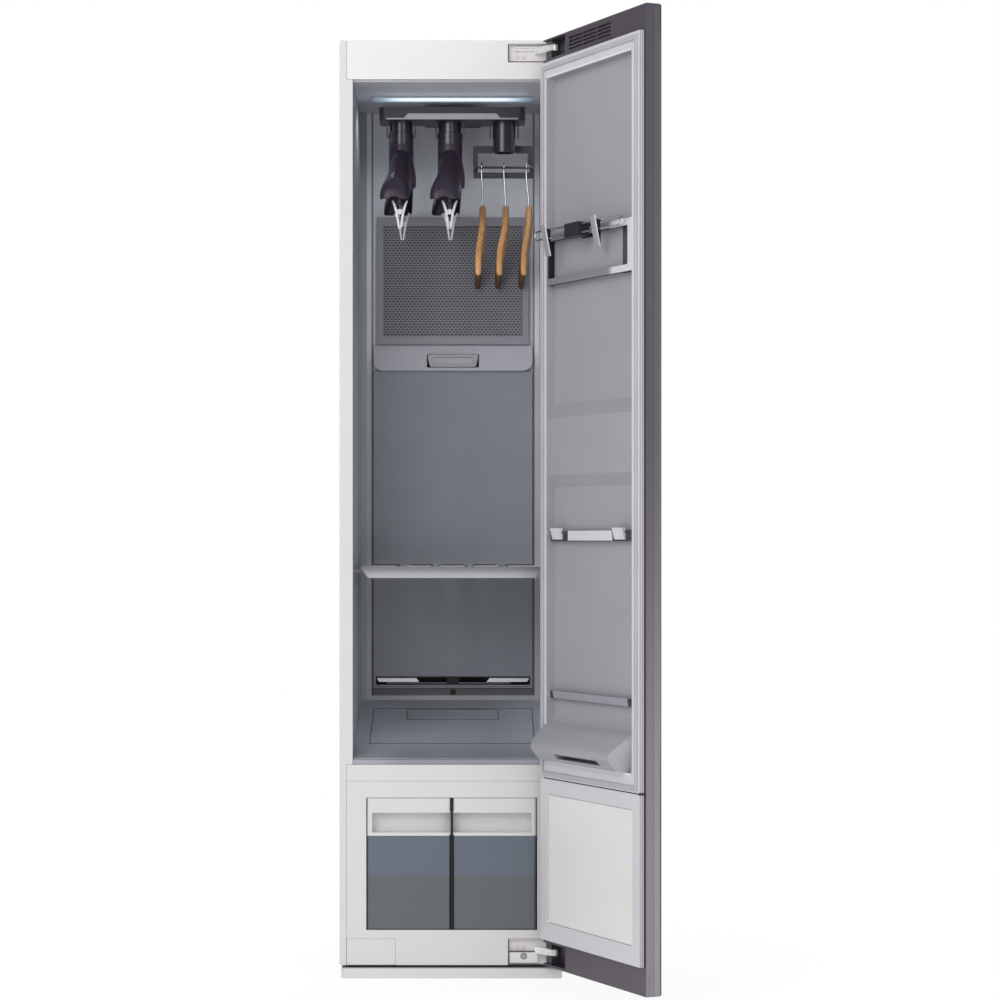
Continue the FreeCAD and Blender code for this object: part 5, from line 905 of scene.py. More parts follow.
        pitch, row = sizes().screen_pitch / MM, sizes().screen_row / MM
        across = round((SCREEN_X[1] - SCREEN_X[0]) / pitch)
        up = round((SCREEN_Z[1] - SCREEN_Z[0]) / row)
        left, foot = -across * pitch / 2, (SCREEN_Z[0] + SCREEN_Z[1] - up * row) / 2
        bm = bmesh.new()
        for j in range(up):
            x0 = left + (pitch / 2 if j % 2 else 0) - pitch / 4
            z = foot + j * row
            lower = [bm.verts.new((x0 + i * pitch, SCREEN_Y, z)) for i in range(across + 1)]
            upper = [bm.verts.new((x0 + i * pitch, SCREEN_Y, z + row)) for i in range(across + 1)]
            for i in range(across):
                bm.faces.new((lower[i], lower[i + 1], upper[i + 1], upper[i]))
        bm.normal_update()
        holes = bm.faces[:]
        bmesh.ops.inset_individual(bm, faces=holes, thickness=row * SCREEN_RIB, use_even_offset=True)
        bmesh.ops.delete(bm, geom=holes, context="FACES")
        bmesh.ops.solidify(bm, geom=bm.faces[:] + bm.edges[:] + bm.verts[:], thickness=SCREEN_THICK)
        outward(bm)
        keep(bm, "filter_screen", "filter", screen_grey(), crisp=60)

    def cartridge(self):
        """Handle with a bright rim round its grey grip, in front of the slotted cassette."""
        low, high = span("cartridge")
        side, foot, head = HANDLE_RIM
        dressed("cartridge", "deodorizer", filter_grey_abs(), sizes().small_edge, name="cartridge_cassette",
                faces=lambda middle, normal: middle.y > HANDLE_BACK_Y - 0.1)
        bm = bmesh.new()
        outer = rounded_corners([(-HANDLE_FOOT_HALF, low.z), (HANDLE_FOOT_HALF, low.z), (high.x, high.z),
                                 (low.x, high.z)], 5.5)
        inner = rounded_corners(oblong(low.x + side, high.x - side, low.z + foot, high.z - head), 4.0)
        ring_y(bm, outer, inner, low.y, HANDLE_BACK_Y)
        outward(bm)
        soften(bm, 1.0, 3)
        keep(bm, "cartridge_handle_rim", "deodorizer", silver_plate(), ["cartridge"])
        bm = bmesh.new()
        drawn(bm, [(x, HANDLE_BACK_Y - GRIP_SUNK, z) for x, z in inner], (0, 1, 0), GRIP_THICK)
        outward(bm)
        keep(bm, "cartridge_grip", "deodorizer", ledge_grey_abs())


def slope_z(y):
    """Height of the top of the sump cover at a depth, taken from its own form."""
    points = [v.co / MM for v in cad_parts["floor_cover"].data.vertices]
    near = min(p.y for p in points)
    far = max(p.y for p in points)
    front = max(p.z for p in points if p.y < near + 1)
    back = max(p.z for p in points if p.y > far - 1)
    return front + (back - front) * (y - near) / (far - near)


def abs_with_painted_light(name, tone, colour, rough=0.48):
    """Chamber ABS whose colour is scaled by a faint cloud of tone and by painted light and shade worked out
    from where a point is.
    """
    made, tree = blank(name)
    _, y, z, aside = place_in(tree)
    cloud = ramped(tree, grain(tree, CLOUD_SIZE, 3.0), 0.3, 0.7, 0.97, 1.03)
    scale = product(tree, cloud, tone(tree, aside, y, z))
    shade = add(tree, "ShaderNodeVectorMath", {0: tuple(colour), "Scale": scale}, operation="SCALE")
    return textured(made, shade.outputs["Vector"], uneven_gloss(rough), grain(tree, GLOSS_SIZE, 3.0),
                    grain(tree, 0.0010, 1.0), 0.00003, {"IOR": 1.5})


def chamber_wall_abs():
    """Chamber walls: vacuum-formed grey ABS with a fine etched grain; painted shade darkens them towards the
    door, towards the top and on the shelf's rail.
    """
    def tone(tree, aside, y, z):
        # painted shade on the shelf's rail, just under the shelf
        rail = product(tree, within(tree, z, WALL_RAIL_Z), ramped(tree, aside, *WALL_RAIL_X, 1.0, 0.0))
        return product(tree, ramped(tree, y, 0.0, 0.20, 0.72, 1.0), ramped(tree, z, 1.2, 1.75, 1.0, 0.82),
                       dimmed(tree, rail, 0.5))
    return abs_with_painted_light("chamber_wall_abs", tone, colours().chamber)


def chamber_back_abs():
    """Rear wall: coloured pale round the filter as painted light from the lamp, darker beside the rear cover,
    with painted shadow in a groove down each side and along its foot.
    """
    def tone(tree, aside, _, z):
        groove = product(tree, within(tree, aside, GROOVE_SHADOW_X), ramped(tree, z, *FOOT_Z[:2], 0.0, 1.0))
        foot = product(tree, within(tree, z, FOOT_Z), ramped(tree, aside, *FOOT_SHADOW_X, 1.0, 0.0))
        return product(tree, ramped(tree, z, 1.20, 1.30, 0.62, 1.0), dimmed(tree, groove, 0.30),
                       dimmed(tree, foot, 0.26))
    return abs_with_painted_light("chamber_back_abs", tone, linear("#E6E8EC"))


def chamber_floor_abs():
    """Sloping floor and its cover: grey ABS, darker at the front lip, and paler towards the sides as painted
    light where the shelf above does not shade it.
    """
    def tone(tree, aside, y, _):
        return product(tree, ramped(tree, y, 0.02, 0.16, 0.43, 0.64),
                       ramped(tree, aside, 0.080, 0.165, 1.0, 1.26))
    return abs_with_painted_light("chamber_floor_abs", tone, linear("#D2D5DF"), 0.45)


def lamp_diffuser():
    """Opal polycarbonate over a row of lamps: a bright strip with fine dots that fades at both ends."""
    made, tree = blank("lamp_diffuser")
    x, y, _, aside = place_in(tree)
    ends = ramped(tree, aside, LAMP_HALF * 0.55, LAMP_HALF, 1.0, 0.10)
    beat = product(tree, x, math.tau / LAMP_PITCH)
    dots = add(tree, "ShaderNodeMath", {0: beat}, operation="SINE").outputs[0]
    light = product(tree, ends, within(tree, y, LAMP_LIT_Y), ramped(tree, dots, -1, 1, 0.55, 1.05))
    tint = between(tree, ends, rgba(linear("#7FB4C4")), rgba(linear("#E6F6FF")), (0.1, 0.9))
    return skinned(made, {"Base Color": rgba(linear("#B9C4CC")), "Roughness": 0.4, "IOR": 1.58,
                          "Emission Color": tint, "Emission Strength": light})


# ------------------------------------------------------------------------------ hanging gear
NOZZLE_X = (-105.0, -5.0)           # of the two nozzles that carry a hanger
NOZZLE_Y = 220.0
HUB_RADIUS = 25.2
HUB_BORE = 23.5
HUB_Z = (1600.0, 1672.0, 1697.0)    # foot, foot of the collar, top
# distance from the neck, shift to the left, crest, hem, half width
SHOULDER = ((0, 0, 1668, 1590, 24.5), (40, 0.6, 1651, 1586, 24.5), (62, 1.6, 1637, 1583.5, 25.0),
            (86, 3.6, 1619, 1569, 26.0), (112, 7, 1603, 1557, 28.0), (134, 10, 1588, 1547, 29.5),
            (146, 10.5, 1574, 1545, 26.0), (151, 10.5, 1562, 1545, 19.0), (152, 10.5, 1550, 1545, 9.0))
SHELL_WALL = 2.6
SKIN_VOXEL = 1.2                    # grain of the shell's one skin
SKIN_PASSES = 8
# outline of the strap hook beside the neck: distance from the neck's middle, and height
STRAP_HOOK = ((20, 1652), (24.5, 1640), (28.5, 1622), (30.5, 1604), (30.5, 1590), (27, 1584.5), (19.5, 1585),
              (20, 1590), (23.5, 1596), (20, 1606))
STRAP_HOOK_HALF = 17.0
BAR_Z = 1543.0
BAR_R = 3.0
BAR_REACH = 142.0
BAR_POST_REACH = 138.0              # of the posts that hold the bar, and their height
BAR_POST_TALL = 22.0
BEND_SIDES = 12
CLIP_Y = (108.0, 332.0)
# one leg of a garment clip: distance from its middle, and height
CLIP_LEG = ((15.5, 1544.0), (12.0, 1545.0), (9.0, 1540.0), (4.6, 1526.0), (0.4, 1492.0), (0.8, 1489.5),
            (3.4, 1490.0), (9.2, 1523.0), (13.0, 1536.0))
PIVOT_Z = 1524.0
EAR = (14.0, 1544.5)                # place and height of the eye on a leg
ROD_Y = 250.0
ROD_Z = 1631.0
HOOKS = ((60.0, 2.3, 9.8), (106.0, 3.6, 14.5), (152.0, 5.2, 13.0))      # place, wood's shift, its lean
# distance from the hook, share of the lean, mid height, half thickness, half height
ARM = ((0, 0, 1535, 7.0, 18.2), (30, 0.01, 1526, 7.0, 18.2), (60, 0.05, 1509, 6.9, 18.0),
       (90, 0.2, 1487, 6.9, 17.7), (112, 0.5, 1464.5, 6.8, 17.0), (128, 0.77, 1446.5, 6.7, 16.3),
       (140.6, 0.9, 1432.4, 6.6, 15.7))
# the turned groove, and the rounded end
ARM_END = ((141.4, 0.91, 1431.5, 5.4, 14.4), (143.2, 0.925, 1429.6, 5.4, 14.4),
           (144, 0.93, 1428.7, 6.6, 15.5), (154, 0.985, 1417.4, 6.5, 14.9), (162, 1.0, 1408.4, 6.2, 14.0),
           (164.4, 1.0, 1405.7, 4.6, 11.4), (165.4, 1.0, 1404.6, 2.2, 6.4))
CROWN_R = 7.2                       # bend of a wooden hanger's hook over the rod


def eased(stations, steps=4):
    """More stations between these, on a smooth curve through them all."""
    made = []
    last = len(stations) - 1
    for k in range(last):
        four = [stations[min(max(i, 0), last)] for i in (k - 1, k, k + 1, k + 2)]
        for t in (step / steps for step in range(steps)):
            made.append(tuple(spline(t, *values) for values in zip(*four)))
    return made + [stations[-1]]


def spline(t, a, b, c, d):
    """Value a share t of the way from b to c, on a smooth curve through a, b, c and d."""
    return b + 0.5 * t * (c - a + t * (2 * a - 5 * b + 4 * c - d + t * (3 * b - a - 3 * c + d)))


def both_ways(stations):
    """Stations from the front tip to the rear tip, from those of one half."""
    return [(-along, *rest) for along, *rest in reversed(stations)] + list(stations[1:])


def arch(bm, x, y, crest, hem, half, points=20):
    """Row of edges over an arch: upright at the hem and round at the crest."""
    row = []
    for k in range(points + 1):
        turn = math.pi * k / points
        row.append(bm.verts.new((x - half * math.cos(turn), y,
                                 hem + (crest - hem) * math.sin(turn) ** 0.72)))
    return [bm.edges.new(pair) for pair in zip(row, row[1:])]


def air_hanger(x):
    """Shoulder shell open underneath, its neck, and the strap hook on its right side."""
    bm = bmesh.new()
    rows = [arch(bm, x - shift, NOZZLE_Y + along, crest, hem, half)
            for along, shift, crest, hem, half in eased(both_ways(SHOULDER))]
    for near, far in zip(rows, rows[1:]):
        bmesh.ops.bridge_loops(bm, edges=near + far)
    bmesh.ops.recalc_face_normals(bm, faces=bm.faces)
    bmesh.ops.solidify(bm, geom=bm.faces[:] + bm.edges[:] + bm.verts[:], thickness=SHELL_WALL)
    foot, ring_foot, _ = HUB_Z
    lathe(bm, oblong(HUB_BORE - 2, HUB_RADIUS, foot, ring_foot + 3), (x, NOZZLE_Y, 0))
    drawn(bm, [(x + px, NOZZLE_Y - STRAP_HOOK_HALF, pz) for px, pz in STRAP_HOOK], (0, 1, 0),
          2 * STRAP_HOOK_HALF)
    outward(bm)
    return bm


def collar(x):
    """Crisp ring on top of an air hanger's neck, round its nozzle."""
    bm = bmesh.new()
    _, low, high = HUB_Z
    lathe(bm, [(HUB_BORE, low), (HUB_BORE, high), (HUB_RADIUS - 0.7, high), (HUB_RADIUS + 0.2, high - 1.0),
               (HUB_RADIUS + 0.2, low + 1), (HUB_RADIUS - 0.8, low)], (x, NOZZLE_Y, 0), steps=64)
    outward(bm)
    return bm


def melted(piece, voxel, passes):
    """Runs crossing forms of a moulded piece into one skin with soft inner corners."""
    mesh = piece.modifiers.new("one_skin", "REMESH")
    mesh.mode = "VOXEL"
    mesh.voxel_size = voxel * MM
    mesh.use_smooth_shade = True
    soft = piece.modifiers.new("soft_corners", "SMOOTH")
    soft.factor = 0.5
    soft.iterations = passes


def wire(bm, path, radius, sides=BEND_SIDES):
    """Round wire through points, mitred at each one, with closed ends."""
    points = [Vector(p) for p in path]
    rings = []
    across = None
    for k, here in enumerate(points):
        ahead = (points[min(k + 1, len(points) - 1)] - here)
        behind = (here - points[max(k - 1, 0)])
        along = (ahead.normalized() + behind.normalized()).normalized()
        if across is None:
            across = along.orthogonal().normalized()
        across = (across - along * across.dot(along)).normalized()
        up = along.cross(across)
        ring = [bm.verts.new(here + (across * math.cos(t) + up * math.sin(t)) * radius)
                for t in (math.tau * i / sides for i in range(sides))]
        edges = [bm.edges.new(pair) for pair in zip(ring, ring[1:] + ring[:1])]
        rings.append(edges)
    for near, far in zip(rings, rings[1:]):
        bmesh.ops.bridge_loops(bm, edges=near + far)
    for end in (rings[0], rings[-1]):
        bmesh.ops.contextual_create(bm, geom=end)


def arc_points(centre, start, sweep, radius, plane, count=8):
    """Points along an arc in a plane given by two unit vectors; angles are in degrees."""
    first, second = Vector(plane[0]), Vector(plane[1])
    turns = [math.radians(start + sweep * k / count) for k in range(count + 1)]
    return [Vector(centre) + (first * math.cos(t) + second * math.sin(t)) * radius for t in turns]


def garment_clip(bm, x, y):
    """Sprung clip: two flat legs that meet at the tip, an eye on each and a pivot disc."""
    for side in (-1, 1):
        depth = 0.8 * side
        drawn(bm, [(x + side * px, y - 2.2 + depth, pz) for px, pz in CLIP_LEG], (0, 1, 0), 4.4)
        drum(bm, (x + side * EAR[0], y - 2.8, EAR[1]), (x + side * EAR[0], y + 2.8, EAR[1]), 2.2, 20)
    for radius, half, sides in ((5.4, 3.6, 28), (2.4, 4.4, 20)):
        drum(bm, (x, y - half, PIVOT_Z), (x, y + half, PIVOT_Z), radius, sides)


def rounded_section(bm, x, y, z, half_x, half_z, points=20, squareness=0.62):
    """Closed loop of edges round a section with full corners."""
    ring = []
    for k in range(points):
        turn = math.tau * k / points
        c, s = math.cos(turn), math.sin(turn)
        ring.append(bm.verts.new((x + half_x * math.copysign(abs(c) ** squareness, c), y,
                                  z + half_z * math.copysign(abs(s) ** squareness, s))))
    return [bm.edges.new(pair) for pair in zip(ring, ring[1:] + ring[:1])]


def hanger_wood(x, lean):
    """Contoured arms in one run from front tip to rear tip, with a turned groove near each end."""
    bm = bmesh.new()
    rings = [rounded_section(bm, x - lean * share, ROD_Y + along, z, hx, hz)
             for along, share, z, hx, hz in both_ways(eased(ARM) + list(ARM_END))]
    for near, far in zip(rings, rings[1:]):
        bmesh.ops.bridge_loops(bm, edges=near + far)
    for end in (rings[0], rings[-1]):
        bmesh.ops.contextual_create(bm, geom=end)
    outward(bm)
    return bm


def hanger_hook(x, shift):
    """Bent wire from the wood up over the rod."""
    bm = bmesh.new()
    wood = x + shift
    crown = arc_points((x, ROD_Y, ROD_Z + 1.0), 0, 205, CROWN_R, ((0, 1, 0), (0, 0, 1)), 14)
    path = [(wood, ROD_Y, 1548), (wood, ROD_Y, 1560), (wood - 0.8, ROD_Y + 0.4, 1570),
            (x + 1.4, ROD_Y + 2.6, 1598), (x + 0.3, ROD_Y + 5.4, 1612), (x, ROD_Y + 7.0, 1622), *crown]
    wire(bm, path, 1.9)
    outward(bm)
    return bm


class SCENE_OT_cabinet_hanging_gear(bpy.types.Operator):
    """Dock, nozzles, air hangers, rack and wooden hangers"""

    bl_idname = "steam_cabinet.hanging_gear"
    bl_label = "Hanging gear"

    def execute(self, context):
        small = sizes().small_edge
        black = black_nylon()
        gloss = hanger_polycarbonate()
        shoulder = shoulder_polycarbonate()
        nickel = bright_nickel()
        chrome = polished_chrome()
        wood = oiled_beech()
        dressed("air_dock", "cabinet", black, small * 2)
        dressed("air_nozzles", "cabinet", gloss, small)
        dressed("hanger_rack", "cabinet", black, small)
        for side, x in (("left", NOZZLE_X[0]), ("middle", NOZZLE_X[1])):
            node, body = "air_hanger_" + side, "hanger_" + side
            shell = keep(air_hanger(x), node + "_shell", body, shoulder, [node])
            melted(shell, SKIN_VOXEL, SKIN_PASSES)
            keep(collar(x), node + "_collar", body, gloss, [node])
            clips, bar = bmesh.new(), bmesh.new()
            wire(bar, [(x, NOZZLE_Y - BAR_REACH, BAR_Z), (x, NOZZLE_Y + BAR_REACH, BAR_Z)], BAR_R, 20)
            for y in CLIP_Y:
                garment_clip(clips, x, y)
                wire(bar, [(x, y, 1520), (x, y, 1537.5)], 1.5)
                lathe(bar, [(3.2, -2.0), (5.6, -2.0), (5.6, 2.0), (3.2, 2.0)], (x, y, BAR_Z), (0, 1, 0), 24)
            for y in (NOZZLE_Y - BAR_POST_REACH, NOZZLE_Y + BAR_POST_REACH):
                wire(bar, [(x, y, BAR_Z), (x, y, BAR_Z + BAR_POST_TALL)], BAR_R, 20)
            for bm, name, finish in ((clips, "_clips", nickel), (bar, "_bar", gloss)):
                outward(bm)
                soften(bm, 0.4, 1)
                keep(bm, node + name, body, finish)
        for k, (x, shift, lean) in enumerate(HOOKS, 1):
            node, body = "wooden_hanger_" + str(k), "wood_hanger_" + str(k)
            keep(hanger_wood(x + shift, lean), node + "_wood", body, wood, [node], crisp=70)
            keep(hanger_hook(x, shift), node + "_hook", body, chrome, crisp=60)
        return {"FINISHED"}


def oiled_beech():
    """Oiled beech: long warm grain lines 3 mm apart along the arms, with painted shade that darkens it to
    brown at the rear ends.
    """
    made, tree = blank("oiled_beech")
    lines = grain(tree, 0.0030, 3.0, (1, 0.06, 0.25))
    pale = between(tree, lines, rgba(colours().wood, 0.74), rgba(colours().wood, 1.15))
    # painted shade: towards the rear ends the wood runs into dark brown
    rear = add(tree, "ShaderNodeMapRange", {"Value": place_in(tree)[1], "From Min": 0.33,
                                            "From Max": 0.40}).outputs["Result"]
    shade = add(tree, "ShaderNodeMix", {0: rear, 6: pale, 7: rgba(linear("#5E3F28"))}, data_type="RGBA")
    return textured(made, shade.outputs[2], (0.34, 0.46), grain(tree, 0.03, 2.0), lines, 0.00008,
                    {"IOR": 1.5})


# ------------------------------------------------------------------------------ tanks
CAP_Z = 280.3
CAP_SKIN = 0.02                     # faces within this of the cap's underside belong to it
# metres, as shaders read them
TANK_SHADE_Z = 0.202                     # painted light and shade: the shell is coloured greyer from here down and bluer above
WALL_X = (0.0010, 0.0036, 0.2095, 0.2125)               # between the dark edges of the shells
WALL_Z = (0.0955, 0.0985)


class SCENE_OT_cabinet_tanks(bpy.types.Operator):
    """Water tanks and the bay they slide into"""

    bl_idname = "steam_cabinet.tanks"
    bl_label = "Tanks"

    def execute(self, context):
        small = sizes().small_edge
        smoke = smoke_polycarbonate()
        white = shaded_lower_white_abs()
        for node, body in (("supply_tank", "clean_tank"), ("drain_tank", "waste_tank")):
            dressed(node, body, smoke, small, name=node + "_shell",
                    faces=lambda middle, normal: not in_cap(middle, normal))
            dressed(node, body, white, small, name=node + "_cap", faces=in_cap)
        dressed("tank_bay", "cabinet", black_abs_and_painted_shade(), small)
        return {"FINISHED"}


def in_cap(middle, normal):
    """True for the faces of a tank's cap, its underside included."""
    return middle.z > CAP_Z + CAP_SKIN or (middle.z > CAP_Z - CAP_SKIN and normal.z < -0.5)


def smoke_polycarbonate():
    """Tank shells: smoke-blue polycarbonate, see-through but dark, with painted light and shade that makes
    them bluer above a line and greyer below it.
    """
    made, tree = blank("smoke_polycarbonate")
    _, _, z, aside = place_in(tree)
    # painted light and shade: bluer above the line, greyer below it
    upper = ramped(tree, z, TANK_SHADE_Z - 0.002, TANK_SHADE_Z + 0.002, 0.0, 1.0)
    tint = between(tree, upper, rgba(linear("#61676B")), rgba(colours().tank), (0.1, 0.9))
    inner = product(tree, within(tree, aside, WALL_X), ramped(tree, z, *WALL_Z, 0.0, 1.0))
    shade = add(tree, "ShaderNodeMix", {0: inner, 6: rgba(linear("#2C3036")), 7: tint}, data_type="RGBA")
    return skinned(made, {"Base Color": shade.outputs[2], "Roughness": 0.24, "IOR": 1.58,
                          "Transmission Weight": 0.2})


# ------------------------------------------------------------------------------ door
HINGE = Vector((203.0, -31.0, 0.0))
DOOR_TURN = math.radians(113.73)    # open
# all places on the door are given as they are with the door shut
BORDER_HALF = 183.7                 # of the recess, with its foot and head
BORDER_Z = (434.3, 1765.2)
SIDE_X = 213.9                      # the liners' sides start here
LINER_FACE_Y = -4.0
RIM_SKIN = 0.02                     # faces this far past the liner's face belong to the rim
WEDGE_Y = -2.9                      # the wedge stands out past the rim, and reaches up to this height
WEDGE_Z = 545.0
RECESS_Y = -20.9
PANEL_HALF = 182.9                  # of the sunk panel in the lower liner
PANEL_Z = (117.1, 367.9)
PANEL_SEAM_Y = (-6.9, -6.25)
PANEL_SEAM_HALF = 0.8
END_CAP_X = -219.0                  # trims beyond this are the end caps
VENT = (-81.0, 109.0, 1805.0, 1838.0)
VENT_REACH = 2.0                    # lining past the vent, with its front and back
VENT_Y = (-20.0, -18.0)
GASKET_EDGE = 1.2
SPLIT_Z = (397.9, 400.1)            # split between the two liners
SPLIT_X = (-214.4, 195.0)
SPLIT_Y = -9.0
SPLIT_PROUD = 0.3
NOTCH_X = (-214.6, -211.0)          # wider end of the split on the free edge
NOTCH_Y = -14.5
NOTCH_MORE = 1.4
MIDDLE_PADS = ((-90.6, 98.0), (126.0, 167.0), (-143.0, -102.5))
LOWER_PADS = ((-155.0, 165.0),)
PAD_START_Y = -10.4
PAD_SKIN = 0.1                      # faces this near a pad's ends belong to it
RING_FRONT_Y = -3.6                 # the accessory frame's ring is in front of this, its panel behind this
RING_PANEL_Y = -18.0
CLIP_X = (126.0, -68.0)
CLIP_HALF = 10.0
CLIP_ROD_X = (-162.0, 175.0)
CLIP_ROD_Z = (1446.0, 1462.0)
CLIP_ROD_Y = (6.0, 25.0)
CLIP_ROD_R = 2.0
CLIP_BLOCK = ((-5.5, -2.9, 1440.0), (54.4, 21.0, 1467.0))
CLIP_TONGUE = ((5.0, -16.5, 1458.9), (45.0, 1.0, 1465.5))
CLIP_TONGUE_END = ((5.0, -16.5, 1439.5), (45.0, -12.6, 1465.0))
CLIP_PLATE = ((8.0, 1472.0), (10.8, 1472.0), (5.4, 1442.0), (-1.2, 1412.0), (-4.0, 1412.0), (2.6, 1442.0))
CLIP_BACK_LEG = ((-5.0, 1444.0), (-2.0, 1444.0), (-1.6, 1422.0), (-5.0, 1417.0))
CLIP_BACK_HALF = 6.5
CLIP_NECK_HALF = 5.0
CLIP_NECK_Y = (-5.0, 5.5)
CLIP_NECK_Z = (1443.0, 1465.0)
# places on the cabinet's side of the hinges
TRAY_Y = 0.5                        # the trays are behind this
PIN_R = 3.5
LOWER_TRAY_TOP = 77.0
UPPER_TRAY_FOOT = 1807.0
# painted shadow round the trays: a seam round each, a line under the lower tray's pocket and a ring round its
# screw
TRAY_SHADOW_Y = (0.7, 1.6)
TRAY_SHADOW_LINE_Y = (4.4, 8.0)
TRAY_SHADOW_LINE_Z = (50.6, 52.2)
TRAY_SCREW = (142.0, 42.0)
SCREW_SHADOW_RING = (4.7, 5.4, 6.3)        # front, back and radius of the painted shadow ring round the screw, and of the screw's head
SCREW_HEAD = (3.6, 5.2, 5.0)
# metres, as shaders read them
# painted light and shade: light and dark stripes across the liners' edge for its folds
FOLD_SHADE_STRIPES = ((-0.0140, "#46424A"), (-0.0126, "#46424A"), (-0.0120, "#C3C1C6"), (-0.0104, "#C3C1C6"),
                (-0.0098, "#8C898F"), (-0.0084, "#8C898F"), (-0.0078, "#C3C1C6"), (-0.0060, "#C3C1C6"),
                (-0.0055, "#8C898F"), (-0.0040, "#8C898F"))
# painted highlight: the ring is brightest beyond these places towards the free edge
RING_HIGHLIGHT_X = (-0.108, -0.082)
PANEL_STRIP_X = (-0.1655, -0.1635, -0.1165, -0.1145)
FRAME_OUTER_X = (-0.2200, -0.2192)  # the frame's outer face, the joint line on it, and the heights of its painted reflection of the floor
FRAME_JOINT_Y = (-0.0304, -0.0300, -0.0294, -0.0290)
FRAME_REFLECTION_Z = (0.15, 1.15)


def closed(point):
    """A place on the open door, given as it is with the door shut."""
    return Matrix.Rotation(-DOOR_TURN, 3, "Z") @ (point - HINGE) + HINGE


def swung(bm):
    """Opens a mesh that was made with the door shut."""
    bmesh.ops.rotate(bm, verts=bm.verts, cent=HINGE, matrix=Matrix.Rotation(DOOR_TURN, 3, "Z"))


def liner_part(middle):
    """Which part of the upper door liner a face is on: side, border, rim, wedge or recess."""
    place = closed(middle)
    outside = abs(place.x) > BORDER_HALF or not BORDER_Z[0] < place.z < BORDER_Z[1]
    if place.y > WEDGE_Y:
        return "wedge"
    if not outside:
        return "wedge" if place.z < WEDGE_Z and place.y > RECESS_Y else "recess"
    if place.y > LINER_FACE_Y + RIM_SKIN:
        return "rim"
    return "side" if abs(place.x) > SIDE_X else "border"


def lower_part(middle):
    """Which part of the lower door liner a face is on: panel, border or side."""
    place = closed(middle)
    if abs(place.x) < PANEL_HALF and PANEL_Z[0] < place.z < PANEL_Z[1]:
        return "panel"
    return "border" if abs(place.x) < SIDE_X else "side"


def frame_part(middle):
    """Which part of the accessory frame a face is on: ring, reveals or panel."""
    y = closed(middle).y
    if y > RING_FRONT_Y:
        return "ring"
    return "panel" if y < RING_PANEL_Y else "shaded_reveals"


def hinge_part(middle):
    """Which part of the hinge brackets a face is on: trays, pins or arms."""
    if middle.y > TRAY_Y:
        return "trays"
    return "pins" if (middle - HINGE).xy.length < PIN_R + 0.1 else "arms"


def trim_part(middle):
    """Which of the door's trims a face is on: end_caps or vent."""
    return "end_caps" if closed(middle).x < END_CAP_X else "vent"


def on_pad(middle, pads):
    """True for the faces of a press bar's pads."""
    place = closed(middle)
    return place.y > PAD_START_Y and any(x0 - PAD_SKIN < place.x < x1 + PAD_SKIN for x0, x1 in pads)


def split(node, body, stem, part_of, parts, segments=2):
    """A CAD node in pieces: one (part, finish, edge, slot) for each name that part_of gives its faces; the
    slot is not used.
    """
    for part, finish, edge, slot in parts:
        dressed(node, body, finish, edge, stem + part, segments=segments,
                faces=lambda middle, normal: part_of(middle) == part)


